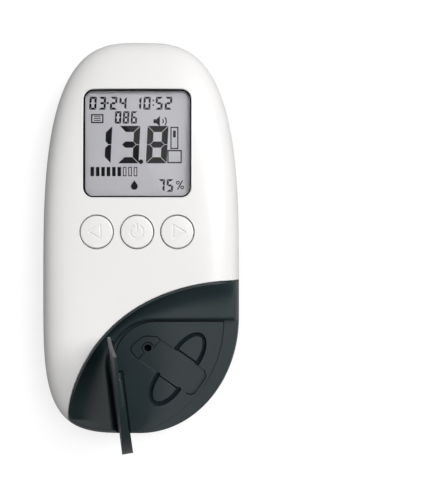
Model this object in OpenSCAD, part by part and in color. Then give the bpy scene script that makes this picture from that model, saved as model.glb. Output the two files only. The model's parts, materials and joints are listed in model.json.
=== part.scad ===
// Hand-held hemoglobin meter, lying on its feet with the display up.
// X points to the right of the display, Y to the display end and Z up.
// The origin is on the table, below the middle of the housing.

/* [Housing] */
// Width of the housing at its widest place
body_w = 66; // [65:0.5:68]
// Length from the display end to the bay end
body_l = 132.5; // [131:0.5:134]
// Height of the front face above the table
front_z = 26; // [25.8:0.1:26.4]
// Height of the seam between the front and rear shells
seam_z = 12.8; // [12.5:0.1:13]
// Height of the rear face above the table, which is how far the feet stand out
rear_z = 0.8; // [0.6:0.1:1]
// Wall thickness of the shells
wall = 2; // [1.8:0.1:2.2]
// How far the widest place lies from the middle, towards the bay end
widest = 15; // [14:0.5:16]

/* [Outline] */
// Squareness of the display end
top_power = 3.1; // [2.9:0.1:3.3]
// Squareness of the lower left corner
left_power = 3.5; // [3.3:0.1:3.7]
// Squareness of the lower right corner, under the lid
right_power = 2.25; // [2.2:0.05:2.3]
// Squareness of the lid's outer edge
lid_power = 2.65; // [2.5:0.05:2.7]

/* [Display] */
// Width of the window opening
window_w = 34.6; // [34:0.1:35.4]
// Length of the window opening
window_l = 34.8; // [34:0.1:35.4]
// Place of the window's middle along the length
window_y = 31; // [30.5:0.1:31.5]
// Corner radius of the window opening
window_r = 3.2; // [2.8:0.1:3.6]
// Depth of the lens below the front face
lens_depth = 1.7; // [1.5:0.1:1.9]

/* [Buttons] */
// Diameter of a button
button_d = 11; // [10.8:0.1:11.2]
// Distance from one button to the next
button_pitch = 12.9; // [12.7:0.1:13.1]
// Place of the buttons along the length
button_y = 2.5; // [2:0.1:3]
// Gap round a button
button_gap = 0.3; // [0.3:0.05:0.4]

/* [Cuvette bay] */
// Centre of the leaf-shaped boundary, across
leaf_x = 30; // [29.5:0.1:30.5]
// Centre of the leaf-shaped boundary, along
leaf_y = -65; // [-65.5:0.1:-64.5]
// Radius of the leaf-shaped boundary
leaf_r = 52.8; // [52.4:0.1:53.2]
// Height of the stage that a cuvette lies on
stage_z = 20; // [19.8:0.1:20.2]
// Corner of the fan-shaped stage, across
fan_x = -10.3; // [-10.5:0.1:-10.1]
// Corner of the fan-shaped stage, along
fan_y = -26.8; // [-27:0.1:-26.6]
// Radius of the fan-shaped stage
fan_r = 39; // [38.8:0.1:39.2]
// Angle of the fan, from its upper edge round to the lid's hinge
fan_angle = 82.8; // [82:0.1:83.5]
// Radius that rounds the fan's corner
fan_fillet = 14; // [13.5:0.1:14.5]
// Place of the measuring hole, across
eye_x = 2.8; // [2.6:0.1:3]
// Place of the measuring hole, along
eye_y = -35.6; // [-35.8:0.1:-35.4]
// Direction of the cuvette slot, clockwise from the X axis
slot_angle = 35.3; // [34.5:0.1:36]
// Width of the cuvette slot
slot_w = 9.8; // [9.6:0.1:10]
// Length of the slot from the measuring hole to its far end
slot_l = 21.3; // [21:0.1:21.5]

/* [Lid] */
// Thickness of the lid
lid_t = 1; // [0.9:0.05:1.1]
// How far the lid stands open
lid_open = 80; // [70:1:90]
// Distance of the hinge pin from the fan's edge
hinge_in = 1.4; // [1.3:0.05:1.5]
// Height of the hinge pin
hinge_z = 20.4; // [20.3:0.05:20.5]

/* [Batteries] */
// Diameter of a battery cell
cell_d = 10.5; // [10.4:0.1:10.6]
// Number of battery cells
cell_count = 3; // [3]
// Width of the battery door
door_w = 34.6; // [34.4:0.1:35]

/* [Hidden] */
$fn = 64;

// Fine clearances shared by the pieces
fit = 0.15;
slip = 0.3;
eps = 0.02;
far = 60;

// Outline of the housing
half_w = body_w / 2;
widest_y = -widest;
top_len = body_l / 2 + widest;
low_len = body_l / 2 - widest;
ring_n = 72;
flank_power = 2.2;
crown_power = 10;
flat_share = 0.84;

// Levels inside the housing
front_inner = front_z - wall;
lens_top = front_z - lens_depth;
lens_t = 1.2;
lens_flange = front_inner - lens_top + lens_t;
lens_edge = 1.6;
gasket_t = 0.5;
lcd_t = 2.2;
lcd_edge = 1.4;
lcd_top = lens_top - lens_t - gasket_t;
board_t = 1.6;
board_top = 18;
board_z = board_top - board_t;
frame_t = lcd_top - lcd_t - board_top;

// Bay
plate_t = 1.8;
shelf_z = stage_z - plate_t;
shelf_t = 1.8;
rim_z = stage_z - 1.4;
riser = 2;
scoop_low = stage_z + riser;
scoop_high = front_z + 0.1;
scoop_power = 1.8;
recess_top = 0.4;
recess_side = 1.6;
recess_fillet = fan_fillet + 1;
slot_deep = 0.6;
eye_r = 1.2;
grip_x = 12;
grip_w = 4.9;
grip_l = 9.3;
grip_deep = 1.2;
moat_w = 1.3;

// Hinge of the lid, measured along the fan's edge from its corner
fan = [fan_x, fan_y];
along = [cos(fan_angle), -sin(fan_angle)];
inward = [sin(fan_angle), cos(fan_angle)];
fan_steps = 24;
groove_z = 18.4;
groove_w = 2.8;
groove_from = 16.6;
groove_to = 38.4;
barrel_r = 1.1;
pin_r = 0.5;
pin_slip = 0.05;
barrel_from = 19.4;
barrel_to = 34.6;
lug_from = 17;
lug_to = 37;
lug_gap = 0.3;

// Lid
lid_top = stage_z + 2.4;
lid_bow_r = 350;
lid_crown = 12;
skirt_z = rim_z + 0.4;
skirt_high = stage_z + 0.35;
skirt_slope = [-62, -36];
skirt_t = 0.9;
lid_gap = 0.5;
lid_in = 0.2;
lid_fillet = 19;

// Batteries
cell_l = 44.5;
cell_pitch = cell_d + 0.4;
cell_z = rear_z + 7.1;
nub_r = 2.4;
nub_l = 1;
contact_t = 0.4;
box_in_w = 18.8;
box_wall = 1.2;
box_from = 1.6;
box_to = box_from + 2 * contact_t + cell_l + 4.4;
box_roof = cell_z + cell_d / 2 + 0.3;
door_t = 1.6;
door_from = 1;
door_top = 9;
door_gap = slip;
latch_w = 2.1;

// Fasteners and feet
screw_r = 1.1;
screw_head_r = 2.6;
post_r = 3.4;
upper_screws = [[-23.2, 35], [23.2, 35]];
left_screw = [-24.5, -34];
bay_screw = [19, -32];
feet = [[-17.5, -42], [17.5, -42], [-21.8, 27], [21.8, 27]];
foot_r = 3.2;

// Squared power that keeps the sign
function keep_sign(v, e) = sign(v) * pow(abs(v), e);

// Squareness of the quarter that an angle lies in
function quarter_power(t, right) = t < 180 ? top_power : t < 270 ? left_power : right;

// One point of the outline, drawn in by inset and scaled about the widest place
function outline_point(t, right, inset, s) =
    let (n = quarter_power(t, right), length = (t < 180 ? top_len : low_len) - inset)
    [
        s * (half_w - inset) * keep_sign(cos(t), 2 / n),
        widest_y + s * length * keep_sign(sin(t), 2 / n)
    ];

function outline(inset = 0, s = 1, right = right_power) =
    [for (i = [0 : ring_n - 1]) outline_point(i * 360 / ring_n, right, inset, s)];

function at_height(points, z) = [for (p = points) [p.x, p.y, z]];

// Share of the outline left at a share w of the height, for the front and rear faces
function front_share(w) = pow(1 - pow(w, flank_power), 1 / crown_power);
function rear_share(w) = flat_share + (1 - flat_share) * pow(1 - pow(w, flank_power), 1 / flank_power);

// Closed solid through a stack of convex rings with equal numbers of points
module loft(rings) {
    n = len(rings[0]);
    last = (len(rings) - 1) * n;
    polyhedron(
        points = [for (ring = rings) each ring],
        faces = [
            for (i = [1 : n - 2]) each [[0, i, i + 1], [last, last + i + 1, last + i]],
            for (a = [0 : n : last - 1], i = [0 : n - 1])
                let (j = (i + 1) % n, b = a + n)
                each [[a + j, a + i, b + i], [a + j, b + i, b + j]]
        ],
        convexity = 8
    );
}

// Front half of the housing as a solid, from z = base up
module front_form(inset, top, base = seam_z) {
    shares = [0, 0.3, 0.55, 0.75, 0.87, 0.94, 0.975, 0.992, 0.9995];
    low = at_height(outline(inset), base);
    rings = [for (w = shares) at_height(outline(inset, front_share(w)), seam_z + (top - seam_z) * w)];
    loft(base < seam_z ? concat([low], rings) : rings);
}

// Rear half of the housing as a solid, up to z = top
module rear_form(inset, bottom, top = seam_z) {
    shares = [1, 0.985, 0.94, 0.86, 0.74, 0.58, 0.38, 0.18, 0];
    rings = [for (w = shares) at_height(outline(inset, rear_share(w)), seam_z - (seam_z - bottom) * w)];
    loft(top > seam_z ? concat(rings, [at_height(outline(inset), top)]) : rings);
}

// Centre of the circle that rounds the fan's corner when its edges are grown
function fillet_centre(top_grow, side_grow, r) =
    let (y = fan_y + top_grow - r)
    [fan_x + (r - side_grow - (y - fan_y) * inward.y) / inward.x, y];

// The fan between the stage's upper edge and the hinge edge, with its round corner
module fan_2d(top_grow, side_grow, r) {
    centre = fillet_centre(top_grow, side_grow, r);
    step = (180 - fan_angle) / fan_steps;
    corner = [for (i = [0 : fan_steps]) centre + r * [cos(90 + i * step), sin(90 + i * step)]];
    last = corner[fan_steps];
    polygon(concat(corner, [last + far * along, [far, -2 * far], [far, corner[0].y]]));
}

// Place on the hinge line: out along the fan's edge, in across it, and up
module on_hinge(out, across, z) {
    place = fan + out * along + across * inward;
    translate([place.x, place.y, z])
        rotate([0, 0, -fan_angle])
            children();
}

// Round bar along the hinge line
module hinge_bar(from, to, r) {
    on_hinge(from, hinge_in, hinge_z)
        rotate([0, 90, 0])
            cylinder(r = r, h = to - from);
}

// Distance from the leaf's centre to the edge of the recess, in direction t
recess_centre = fillet_centre(recess_top, recess_side, recess_fillet);
leaf = [leaf_x, leaf_y];
upper_end = recess_centre + [0, recess_fillet] - leaf;
side_end = recess_centre - recess_fillet * inward - leaf;
upper_end_t = atan2(upper_end.y, upper_end.x);
side_end_t = atan2(side_end.y, side_end.x);

function to_upper_edge(t) = (fan_y + recess_top - leaf_y) / sin(t);
function to_side_edge(t) = (-recess_side - (leaf - fan) * inward) / ([cos(t), sin(t)] * inward);
function to_corner(t) =
    let (way = recess_centre - leaf, b = [cos(t), sin(t)] * way)
    b + sqrt(b * b - way * way + recess_fillet * recess_fillet);
function to_recess(t) =
    t < upper_end_t ? to_upper_edge(t) : t > side_end_t ? to_side_edge(t) : to_corner(t);

// Height of the scoop at a share u of the way from the recess to the leaf's edge
function scoop_z(u) = scoop_low + (scoop_high - scoop_low) * pow(u, scoop_power);

// Upright section of the space above the scoop, in direction t from the leaf's centre
function scoop_section(t, steps = 7) =
    let (inner = to_recess(t), lap = inner - 1, top = front_z + 4, past = leaf_r + 2)
    [
        for (p = concat(
            [[lap, top], [past, top], [past, scoop_z((past - inner) / (leaf_r - inner))]],
            [for (j = [steps : -1 : 0]) let (u = j / steps) [inner + (leaf_r - inner) * u, scoop_z(u)]],
            [[lap, scoop_low]]
        ))
            [leaf_x + p.x * cos(t), leaf_y + p.x * sin(t), p.y]
    ];

module scoop_cut() {
    loft([for (t = [78 : 4 : 190]) scoop_section(t)]);
}

// Deep recess for the stage, and the step down to the rim outside it
module stage_recess() {
    translate([0, 0, shelf_z])
        linear_extrude(far)
            intersection() {
                fan_2d(0, 0, fan_fillet);
                translate(fan)
                    circle(r = fan_r, $fn = 180);
            }
    translate([0, 0, rim_z])
        linear_extrude(far)
            fan_2d(recess_top, recess_side, recess_fillet);
    on_hinge(groove_from, -recess_side + 0.1, groove_z)
        cube([far, recess_side + groove_w - 0.1, far]);
}

module leaf_column(r, base, height) {
    translate([leaf_x, leaf_y, base])
        cylinder(r = r, h = height, $fn = 180);
}

module rounded_plate(w, l, r, t) {
    linear_extrude(t)
        union() {
            square([w - 2 * r, l], center = true);
            square([w, l - 2 * r], center = true);
            for (x = [-1, 1], y = [-1, 1])
                translate([x * (w / 2 - r), y * (l / 2 - r)])
                    circle(r);
        }
}

module at_each(places, z = 0) {
    for (p = places)
        translate([p.x, p.y, z])
            children();
}

module at_buttons(z) {
    for (i = [-1 : 1])
        translate([i * button_pitch, button_y, z])
            children();
}

module seam_rebate() {
    translate([0, 0, seam_z - eps])
        linear_extrude(1.3)
            polygon(outline(wall / 2));
}

// Hollow post that a housing screw bites into
module screw_post(top) {
    difference() {
        cylinder(r = post_r - 0.6, h = top - seam_z);
        translate([0, 0, -eps])
            cylinder(r = screw_r, h = 9);
    }
}

module front_shell() {
    post_h = front_inner + 0.5;
    color("#EFEEEC") {
        difference() {
            union() {
                difference() {
                    front_form(0, front_z);
                    front_form(wall, front_inner, seam_z - 1);
                }
                intersection() {
                    window_frame();
                    front_form(wall / 2, front_z - wall / 2);
                }
            }
            seam_rebate();
            leaf_column(leaf_r + fit, 0, far);
            display_pocket();
            at_buttons(0)
                cylinder(d = button_d + 2 * button_gap, h = far);
        }
        intersection() {
            union() {
                at_each(concat(upper_screws, [left_screw]), seam_z)
                    screw_post(post_h);
                at_each(board_posts, board_top)
                    difference() {
                        cylinder(r = 2.2, h = post_h - board_top);
                        translate([0, 0, -eps])
                            cylinder(r = 0.87, h = 3);
                    }
            }
            front_form(wall / 2, front_z - wall / 2);
        }
    }
}

// Thickening under the front face that the lens and the display are let into
module window_frame() {
    edge = 2 * (lens_edge + 1.2);
    translate([0, window_y, lcd_top])
        rounded_plate(window_w + edge, window_l + edge, window_r + 2.4, front_inner - lcd_top + 0.3);
}

// Window opening, and the pockets of the lens and the display below it
module display_pocket() {
    lens_out = 2 * (lens_edge + fit);
    lcd_out = 2 * (lcd_edge + fit);
    translate([0, window_y, front_inner - 1])
        rounded_plate(window_w, window_l, window_r, far);
    translate([0, window_y, lcd_top - 0.1])
        rounded_plate(window_w + lens_out, window_l + lens_out, window_r + 1 + fit, gasket_t + lens_flange + 0.12);
    translate([0, window_y, lcd_top - lcd_t - 0.2])
        rounded_plate(window_w + lcd_out, window_l + lcd_out, 0.9, lcd_t + 0.25);
}

module rear_shell() {
    color("#EDECEA") {
        difference() {
            union() {
                difference() {
                    rear_form(0, rear_z);
                    rear_form(wall, rear_z + wall, seam_z + 1);
                }
                seam_lip();
                intersection() {
                    rear_inside();
                    rear_form(wall / 2, rear_z + wall / 2, seam_z + wall);
                }
            }
            door_opening();
            at_each(all_screws(), rear_z)
                screw_hole();
            at_each(feet, 0)
                cylinder(r = foot_r, h = 2 * rear_z);
            battery_space();
        }
    }
}

function all_screws() = concat(upper_screws, [left_screw, bay_screw]);

module rear_inside() {
    battery_box();
    board_pillars();
    at_each(all_screws(), rear_z)
        cylinder(r = post_r, h = seam_z - rear_z - eps);
}

// Counterbore for the screw's head, and the hole for its shank
module screw_hole() {
    translate([0, 0, -eps])
        cylinder(r = screw_head_r + slip, h = 3.4);
    cylinder(r = screw_r + slip, h = far);
}

// Lip of the rear shell that stands inside the front shell's rebate
module seam_lip() {
    translate([0, 0, seam_z - 2])
        linear_extrude(3.1)
            difference() {
                polygon(outline(wall / 2 + fit));
                polygon(outline(wall));
            }
}

// Box round the batteries, and the lower box between them and the door's end
module battery_box() {
    half = box_in_w + box_wall;
    translate([-half, box_from - box_wall, 0])
        cube([2 * half, box_to - box_from + 2 * box_wall, box_roof + box_wall]);
    translate([-half, box_to, 0])
        cube([2 * half, far, door_top + door_gap + box_wall]);
}

module battery_space() {
    translate([-box_in_w, box_from, rear_z + wall])
        cube([2 * box_in_w, box_to - box_from, box_roof - rear_z - wall]);
}

module door_opening() {
    w = door_w + 2 * door_gap;
    translate([-w / 2, door_from - door_gap, -1])
        cube([w, far, 1 + rear_z + wall + 1]);
    translate([-w / 2, box_to + box_wall, -1])
        cube([w, far, 1 + door_top + door_gap]);
    for (side = [-1, 1])
        translate([side * cell_pitch / 2 - latch_w / 2 - slip, door_from - 1.6, rear_z + wall])
            cube([latch_w + 2 * slip, 3, 1.4]);
}

// Pillars that hold the optics board, under the measuring hole
module board_pillars() {
    for (x = [-1, 1])
        translate([eye_x + x * 6, eye_y, rear_z + wall / 2])
            cylinder(r = 1.8, h = optics_z - rear_z - wall / 2);
}

module bay_housing() {
    color("#232B2D")
        difference() {
            union() {
                difference() {
                    scooped_form();
                    stage_recess();
                    bay_hollow();
                    seam_rebate();
                }
                translate([bay_screw.x, bay_screw.y, seam_z])
                    cylinder(r = post_r - 0.6, h = shelf_z - shelf_t + eps - seam_z);
            }
            translate([bay_screw.x, bay_screw.y, 0])
                cylinder(r = screw_r, h = shelf_z - 0.6);
            translate([eye_x, eye_y, 0])
                cylinder(r = optics_snout + fit, h = far);
        }
}

// The leaf-shaped part of the front face with its scoop, before the stage is sunk in
module scooped_form() {
    difference() {
        intersection() {
            front_form(0, front_z);
            leaf_column(leaf_r, seam_z, far);
        }
        scoop_cut();
    }
}

// Hollow under the shelf, which keeps one wall all round
module bay_hollow() {
    translate([0, 0, seam_z - 1])
        linear_extrude(shelf_z - shelf_t - seam_z + 1)
            intersection() {
                polygon(outline(wall));
                translate(leaf)
                    circle(r = leaf_r - wall, $fn = 180);
            }
}

// Frame whose X axis runs along the cuvette slot, from the measuring hole
module on_slot(z) {
    translate([eye_x, eye_y, z])
        rotate([0, 0, -slot_angle])
            children();
}

module slot_2d() {
    r = 2.3;
    translate([0, -slot_w / 2])
        square([slot_l - r, slot_w]);
    translate([slot_l - 2 * r, -slot_w / 2 + r])
        square([2 * r, slot_w - 2 * r]);
    for (side = [-1, 1])
        translate([slot_l - r, side * (slot_w / 2 - r)])
            circle(r);
    circle(locator_r);
}

// Half ellipse beside the slot, drawn in from its curved side by inset
module grip_2d(inset) {
    steps = 24;
    polygon([
        for (i = [0 : steps])
            let (t = 180 * i / steps)
            [grip_x + (grip_w - inset) * cos(t), slot_w / 2 + (grip_l - inset) * sin(t)]
    ]);
}

// Horseshoe round the measuring hole, open towards the slot
locator_r = 2;
locator_steps = 16;
locator_from = 49;
locator_to = 263;
locator_outer = [
    [-0.6, -4.6], [-3, -4.4], [-4.2, -3.5], [-4.7, -2.7], [-4.1, -0.1],
    [-3.3, 2.3], [-0.8, 4.1], [0.8, 4.7], [1.8, 4.1]
];

module locator_2d(grow) {
    step = (locator_to - locator_from) / locator_steps;
    offset(delta = grow)
        polygon(concat(
            locator_outer,
            [
                for (i = [0 : locator_steps])
                    let (t = locator_from + i * step)
                    locator_r * [cos(t), sin(t)]
            ]
        ));
}

module stage_plate() {
    edge = fit;
    color("#343D3F")
        difference() {
            translate([0, 0, shelf_z])
                linear_extrude(plate_t)
                    intersection() {
                        fan_2d(-edge, -edge, fan_fillet - edge);
                        translate(fan)
                            circle(r = fan_r - edge, $fn = 180);
                    }
            on_hinge(groove_from, -1, 0)
                cube([far, groove_w + 1 + fit, far]);
            on_slot(stage_z - slot_deep)
                linear_extrude(far)
                    slot_2d();
            for (side = [0, 1])
                on_slot(stage_z)
                    mirror([0, side, 0])
                        finger_recess();
            on_slot(stage_z - 1)
                linear_extrude(far)
                    locator_2d(0.08);
            translate([eye_x, eye_y, 0])
                cylinder(r = eye_r, h = far);
        }
}

// Finger recess, which steps down in from its curved side
module finger_recess() {
    translate([0, 0, -grip_deep / 3])
        linear_extrude(far)
            grip_2d(0);
    translate([0, 0, -grip_deep])
        linear_extrude(far)
            grip_2d(moat_w / 2);
}

module cuvette_locator() {
    color("#2C3436")
        on_slot(stage_z - 1)
            linear_extrude(1.15)
                locator_2d(0);
}

// Outline of the closed lid
module lid_2d(inset) {
    r = lid_fillet - inset;
    intersection() {
        polygon(outline(lid_in + inset, 1, lid_power));
        fan_2d(-lid_gap - inset, -hinge_in + barrel_r - inset, r);
    }
}

// Big roller along the hinge line, whose top bows the lid
module lid_roller(drop) {
    on_hinge(-far, lid_crown, lid_top - lid_bow_r)
        rotate([0, 90, 0])
            cylinder(r = lid_bow_r - drop, h = 3 * far, $fn = 720);
}

module closed_lid() {
    difference() {
        intersection() {
            translate([0, 0, skirt_z])
                linear_extrude(10)
                    lid_2d(0);
            lid_roller(0);
        }
        intersection() {
            translate([0, 0, 0])
                linear_extrude(far)
                    lid_hollow_2d();
            lid_roller(lid_t);
        }
        skirt_rise();
        on_hinge(-far / 2, -5, 0)
            cube([far / 2 + barrel_from - lug_gap, 5 + hinge_in, far]);
        hinge_bar(lug_from - 2, barrel_from - lug_gap, barrel_r + slip);
        hinge_bar(barrel_to + lug_gap, lug_to + 2, barrel_r + slip);
        hinge_bar(0, far, pin_r + pin_slip);
    }
    difference() {
        hinge_bar(barrel_from, barrel_to, barrel_r);
        hinge_bar(0, far, pin_r + pin_slip);
    }
}

// Takes the skirt away below a line that rises from the hinge end to the free corner
module skirt_rise() {
    rotate([90, 0, 90])
        translate([0, 0, -far])
            linear_extrude(2 * far)
                polygon([
                    [-2 * far, 0],
                    [-2 * far, skirt_z - 1],
                    [skirt_slope[0], skirt_z - eps],
                    [skirt_slope[1], skirt_high],
                    [0, skirt_high],
                    [0, 0]
                ]);
}

// The skirt runs along the outer edge only, so the hollow reaches past the other edges
module lid_hollow_2d() {
    intersection() {
        polygon(outline(skirt_t, 1, lid_power));
        fan_2d(5, 5, fan_fillet + 5);
    }
}

// Turns a piece of the closed lid about the hinge pin to where the lid stands open
module opened() {
    place = fan + hinge_in * inward;
    translate([place.x, place.y, hinge_z])
        rotate(a = lid_open, v = [along.x, along.y, 0])
            translate([-place.x, -place.y, -hinge_z])
                children();
}

module bay_lid() {
    color("#2A3234")
        opened()
            closed_lid();
}

// Foam pad inside the lid that shades the measuring hole
module lid_seal() {
    pad = 12;
    base = stage_z + 0.6;
    color("#15181A")
        opened()
            difference() {
                translate([eye_x + 1.2, eye_y - 1.2, base])
                    rounded_plate(pad, pad, 3, lid_top - lid_t - fit - base);
                translate([eye_x, eye_y, 0])
                    cylinder(r = 3, h = far);
            }
}

module hinge_bracket() {
    half = barrel_r - 0.1;
    foot = half - 0.15;
    color("#1D2426")
        difference() {
            union() {
                on_hinge(lug_from, hinge_in - half, groove_z)
                    cube([lug_to - lug_from, 2 * half, 0.5]);
                for (from = [lug_from, barrel_to + lug_gap]) {
                    on_hinge(from, hinge_in - foot, groove_z)
                        cube([barrel_from - lug_gap - lug_from, 2 * foot, hinge_z - groove_z]);
                    hinge_bar(from, from + barrel_from - lug_gap - lug_from, half);
                }
            }
            hinge_bar(0, far, pin_r + 0.01);
        }
}

module hinge_pin() {
    color("#B9BCBE")
        hinge_bar(lug_from, lug_to, pin_r);
}

module display_lens() {
    color("#DDE3E6")
        translate([0, window_y, lens_top - lens_t])
            union() {
                rounded_plate(window_w + 2 * lens_edge, window_l + 2 * lens_edge, window_r + 1, lens_flange);
                rounded_plate(window_w - 2 * fit, window_l - 2 * fit, window_r, lens_t);
            }
}

module lens_gasket() {
    color("#0D0E10")
        translate([0, window_y, lcd_top])
            difference() {
                rounded_plate(window_w + 2 * lens_edge, window_l + 2 * lens_edge, window_r + 1, gasket_t);
                translate([0, 0, -eps])
                    rounded_plate(window_w, window_l, window_r, far);
            }
}

module lcd_glass() {
    color("#C5C4CA")
        translate([0, window_y, lcd_top - lcd_t])
            rounded_plate(window_w + 2 * lcd_edge, window_l + 2 * lcd_edge, 0.6, lcd_t);
}

module lcd_frame() {
    w = window_w + 2 * lcd_edge;
    l = window_l + 2 * lcd_edge;
    strip = 2.4;
    color("#F4F4F2")
        translate([0, window_y, board_top])
            difference() {
                rounded_plate(w, l, 0.8, frame_t);
                for (side = [-1, 1])
                    translate([-w / 2 + 2, side * (l / 2 - 3) - strip / 2, -eps])
                        cube([w - 4, strip, far]);
            }
}

module zebra_strips() {
    w = window_w + 2 * lcd_edge - 4 - 2 * fit;
    l = window_l + 2 * lcd_edge;
    strip = 2.4 - 2 * fit;
    color("#E46A8A")
        for (side = [-1, 1])
            translate([-w / 2, window_y + side * (l / 2 - 3) - strip / 2, board_top])
                cube([w, strip, frame_t]);
}

board_from = -12;
board_to = 55;
board_half = 26;
board_posts = [[-22.5, 12], [22.5, 12], [-13, -9], [13, -9]];

module main_board() {
    color("#1E6B3A")
        difference() {
            translate([0, 0, board_z])
                linear_extrude(board_t)
                    intersection() {
                        polygon(outline(5.5));
                        translate([-board_half, board_from])
                            square([2 * board_half, board_to - board_from]);
                    }
            at_each(upper_screws, 0)
                cylinder(r = post_r + slip, h = far);
            at_each(board_posts, 0)
                cylinder(r = 0.9, h = far);
            leaf_column(leaf_r + 1, 0, far);
        }
}

module controller_chip() {
    color("#17181A")
        translate([-6, -6.5, board_z - 1.4])
            cube([10, 8, 1.4]);
}

module board_screws() {
    color("#B4B7BA")
        at_each(board_posts, board_z - 1) {
            difference() {
                cylinder(r = 1.6, h = 1);
                translate([0, 0, -eps])
                    cylinder(r = 0.7, h = 0.5, $fn = 6);
            }
            cylinder(r = 0.85, h = board_t + 1 + 1.8);
        }
}

// Button with its guide flange; the children are sunk into its crowned face
module button_body() {
    crown_r = 60;
    top = front_z + 0.35;
    intersection() {
        union() {
            cylinder(d = button_d, h = top + 1);
            translate([0, 0, front_inner - 1.4])
                cylinder(d = button_d + 1.3, h = 1);
        }
        translate([0, 0, top - crown_r])
            sphere(r = crown_r, $fn = 96);
        translate([0, 0, board_top + 2.6])
            cylinder(d = button_d + 4, h = far);
    }
}

module button(i) {
    color("#EFEEEC")
        translate([i * button_pitch, button_y, 0])
            difference() {
                button_body();
                translate([0, 0, front_z + 0.1])
                    linear_extrude(1)
                        children();
            }
}

module arrow_2d() {
    difference() {
        circle(r = 2.5, $fn = 3);
        circle(r = 1.75, $fn = 3);
    }
}

module power_2d() {
    difference() {
        circle(r = 2.3);
        circle(r = 1.8);
        translate([-0.75, 0])
            square([1.5, 4]);
    }
    translate([-0.25, 0.2])
        square([0.5, 2.6]);
}

module button_back() {
    button(-1)
        mirror([1, 0])
            arrow_2d();
}

module button_power() {
    button(0)
        power_2d();
}

module button_next() {
    button(1)
        arrow_2d();
}

// Silicone sheet over the domes, with a plunger under each button
module key_membrane() {
    color("#B9BEC0")
        difference() {
            union() {
                translate([-20, button_y - 6.5, board_top])
                    cube([40, 13, 0.7]);
                at_buttons(board_top)
                    cylinder(r = 3.6, h = 1.5);
            }
            at_buttons(board_top - eps)
                cylinder(r = 2.7, h = 0.5);
        }
}

module key_domes() {
    color("#C9B37A")
        at_buttons(board_top)
            cylinder(r1 = 2.4, r2 = 1.2, h = 0.4);
}

module buzzer() {
    color("#1A1B1D")
        translate([20.5, -6, board_z - 3.4])
            difference() {
                cylinder(r = 4.6, h = 3.4);
                translate([0, 0, -eps])
                    cylinder(r = 0.9, h = 1.4);
            }
}

optics_z = 6;
optics_board_t = 1.2;
optics_snout = 3.4;

module optics_block() {
    base = optics_z + optics_board_t;
    color("#101214")
        difference() {
            union() {
                translate([eye_x - 7, eye_y - 5, base])
                    cube([14, 10, shelf_z - shelf_t - fit - base]);
                translate([eye_x, eye_y, base])
                    cylinder(r = optics_snout, h = shelf_z - base - 0.6);
            }
            translate([eye_x, eye_y, base + 4])
                cylinder(r = eye_r, h = far);
            for (x = [-2.6, 2.6])
                translate([eye_x + x, eye_y, base - eps])
                    cylinder(r = 1.7, h = 5.2);
        }
}

module optics_window() {
    color("#2A3036")
        translate([eye_x, eye_y, shelf_z - 0.6])
            cylinder(r = 3, h = 0.6);
}

module optics_board() {
    color("#1E6B3A")
        translate([eye_x - 11, eye_y - 7, optics_z])
            cube([22, 14, optics_board_t]);
}

module emitter() {
    color("#D8E8C8")
        translate([eye_x - 2.6, eye_y, optics_z + optics_board_t]) {
            cylinder(r = 1.5, h = 2.6);
            translate([0, 0, 2.6])
                sphere(r = 1.5);
        }
}

module photodiode() {
    color("#3A3F58")
        translate([eye_x + 2.6, eye_y, optics_z + optics_board_t])
            difference() {
                cylinder(r = 1.5, h = 2.4);
                translate([-0.8, -0.8, 2.2])
                    cube([1.6, 1.6, 1]);
            }
}

// Flat cable between the boards, standing on edge beside the optics block
module board_cable() {
    color("#D9DCDD")
        union() {
            translate([-9, eye_y - 4, optics_z + optics_board_t])
                cube([3, 8, 0.3]);
            translate([-9, eye_y - 4, optics_z + optics_board_t])
                cube([0.3, 8, 6.6]);
            translate([-9, eye_y - 4, optics_z + optics_board_t + 6.3])
                cube([0.3, 29.6, 0.3]);
            translate([-9, board_from + 2, optics_z + optics_board_t + 6.3])
                cube([6, 0.3, board_z - optics_z - optics_board_t - 6.3]);
        }
}

module battery_door() {
    reach = half_w * 2.2;
    color("#EDECEA") {
        intersection() {
            difference() {
                rear_form(0, rear_z);
                rear_form(door_t, rear_z + door_t, seam_z + 1);
                for (i = [0 : 4])
                    translate([-6 + 1.2 * i, 8 + 1.6 * i, -1])
                        cube([12 - 2.4 * i, 0.7, 1 + rear_z + 0.5]);
            }
            translate([-door_w / 2, door_from, 0])
                cube([door_w, reach, door_top]);
        }
        for (side = [0, 1], y = [6, 20, 34])
            mirror([side, 0, 0])
                translate([door_w / 2 - 1.2, y, 0])
                    door_hook([1.2, 5], [2.2, 5]);
        for (side = [-1, 1])
            translate([side * cell_pitch / 2 - latch_w / 2, door_from + 2.9, 0])
                mirror([0, 1, 0])
                    door_hook([latch_w, 2], [latch_w, 4.1]);
    }
}

// Hook that stands on the door and reaches over the edge of the opening
module door_hook(stem, reach) {
    low = rear_z + door_t - eps;
    high = rear_z + wall + slip;
    translate([0, 0, low])
        cube([stem.x, stem.y, high - low + eps]);
    translate([0, 0, high])
        cube([reach.x, reach.y, 0.7]);
}

function cell_x(i) = (i - (cell_count - 1) / 2) * cell_pitch;
function flipped(i) = i % 2 == 1;

// One cell along Y, with its nub at the far end
module cell() {
    rotate([-90, 0, 0]) {
        cylinder(d = cell_d, h = cell_l - nub_l);
        cylinder(r = nub_r, h = cell_l);
    }
}

module battery_cells() {
    start = box_to - contact_t - cell_l;
    color("#8E949B")
        for (i = [0 : cell_count - 1])
            translate([cell_x(i), 0, cell_z])
                if (flipped(i))
                    translate([0, box_from + contact_t + cell_l, 0])
                        mirror([0, 1, 0])
                            cell();
                else
                    translate([0, start, 0])
                        cell();
}

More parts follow.
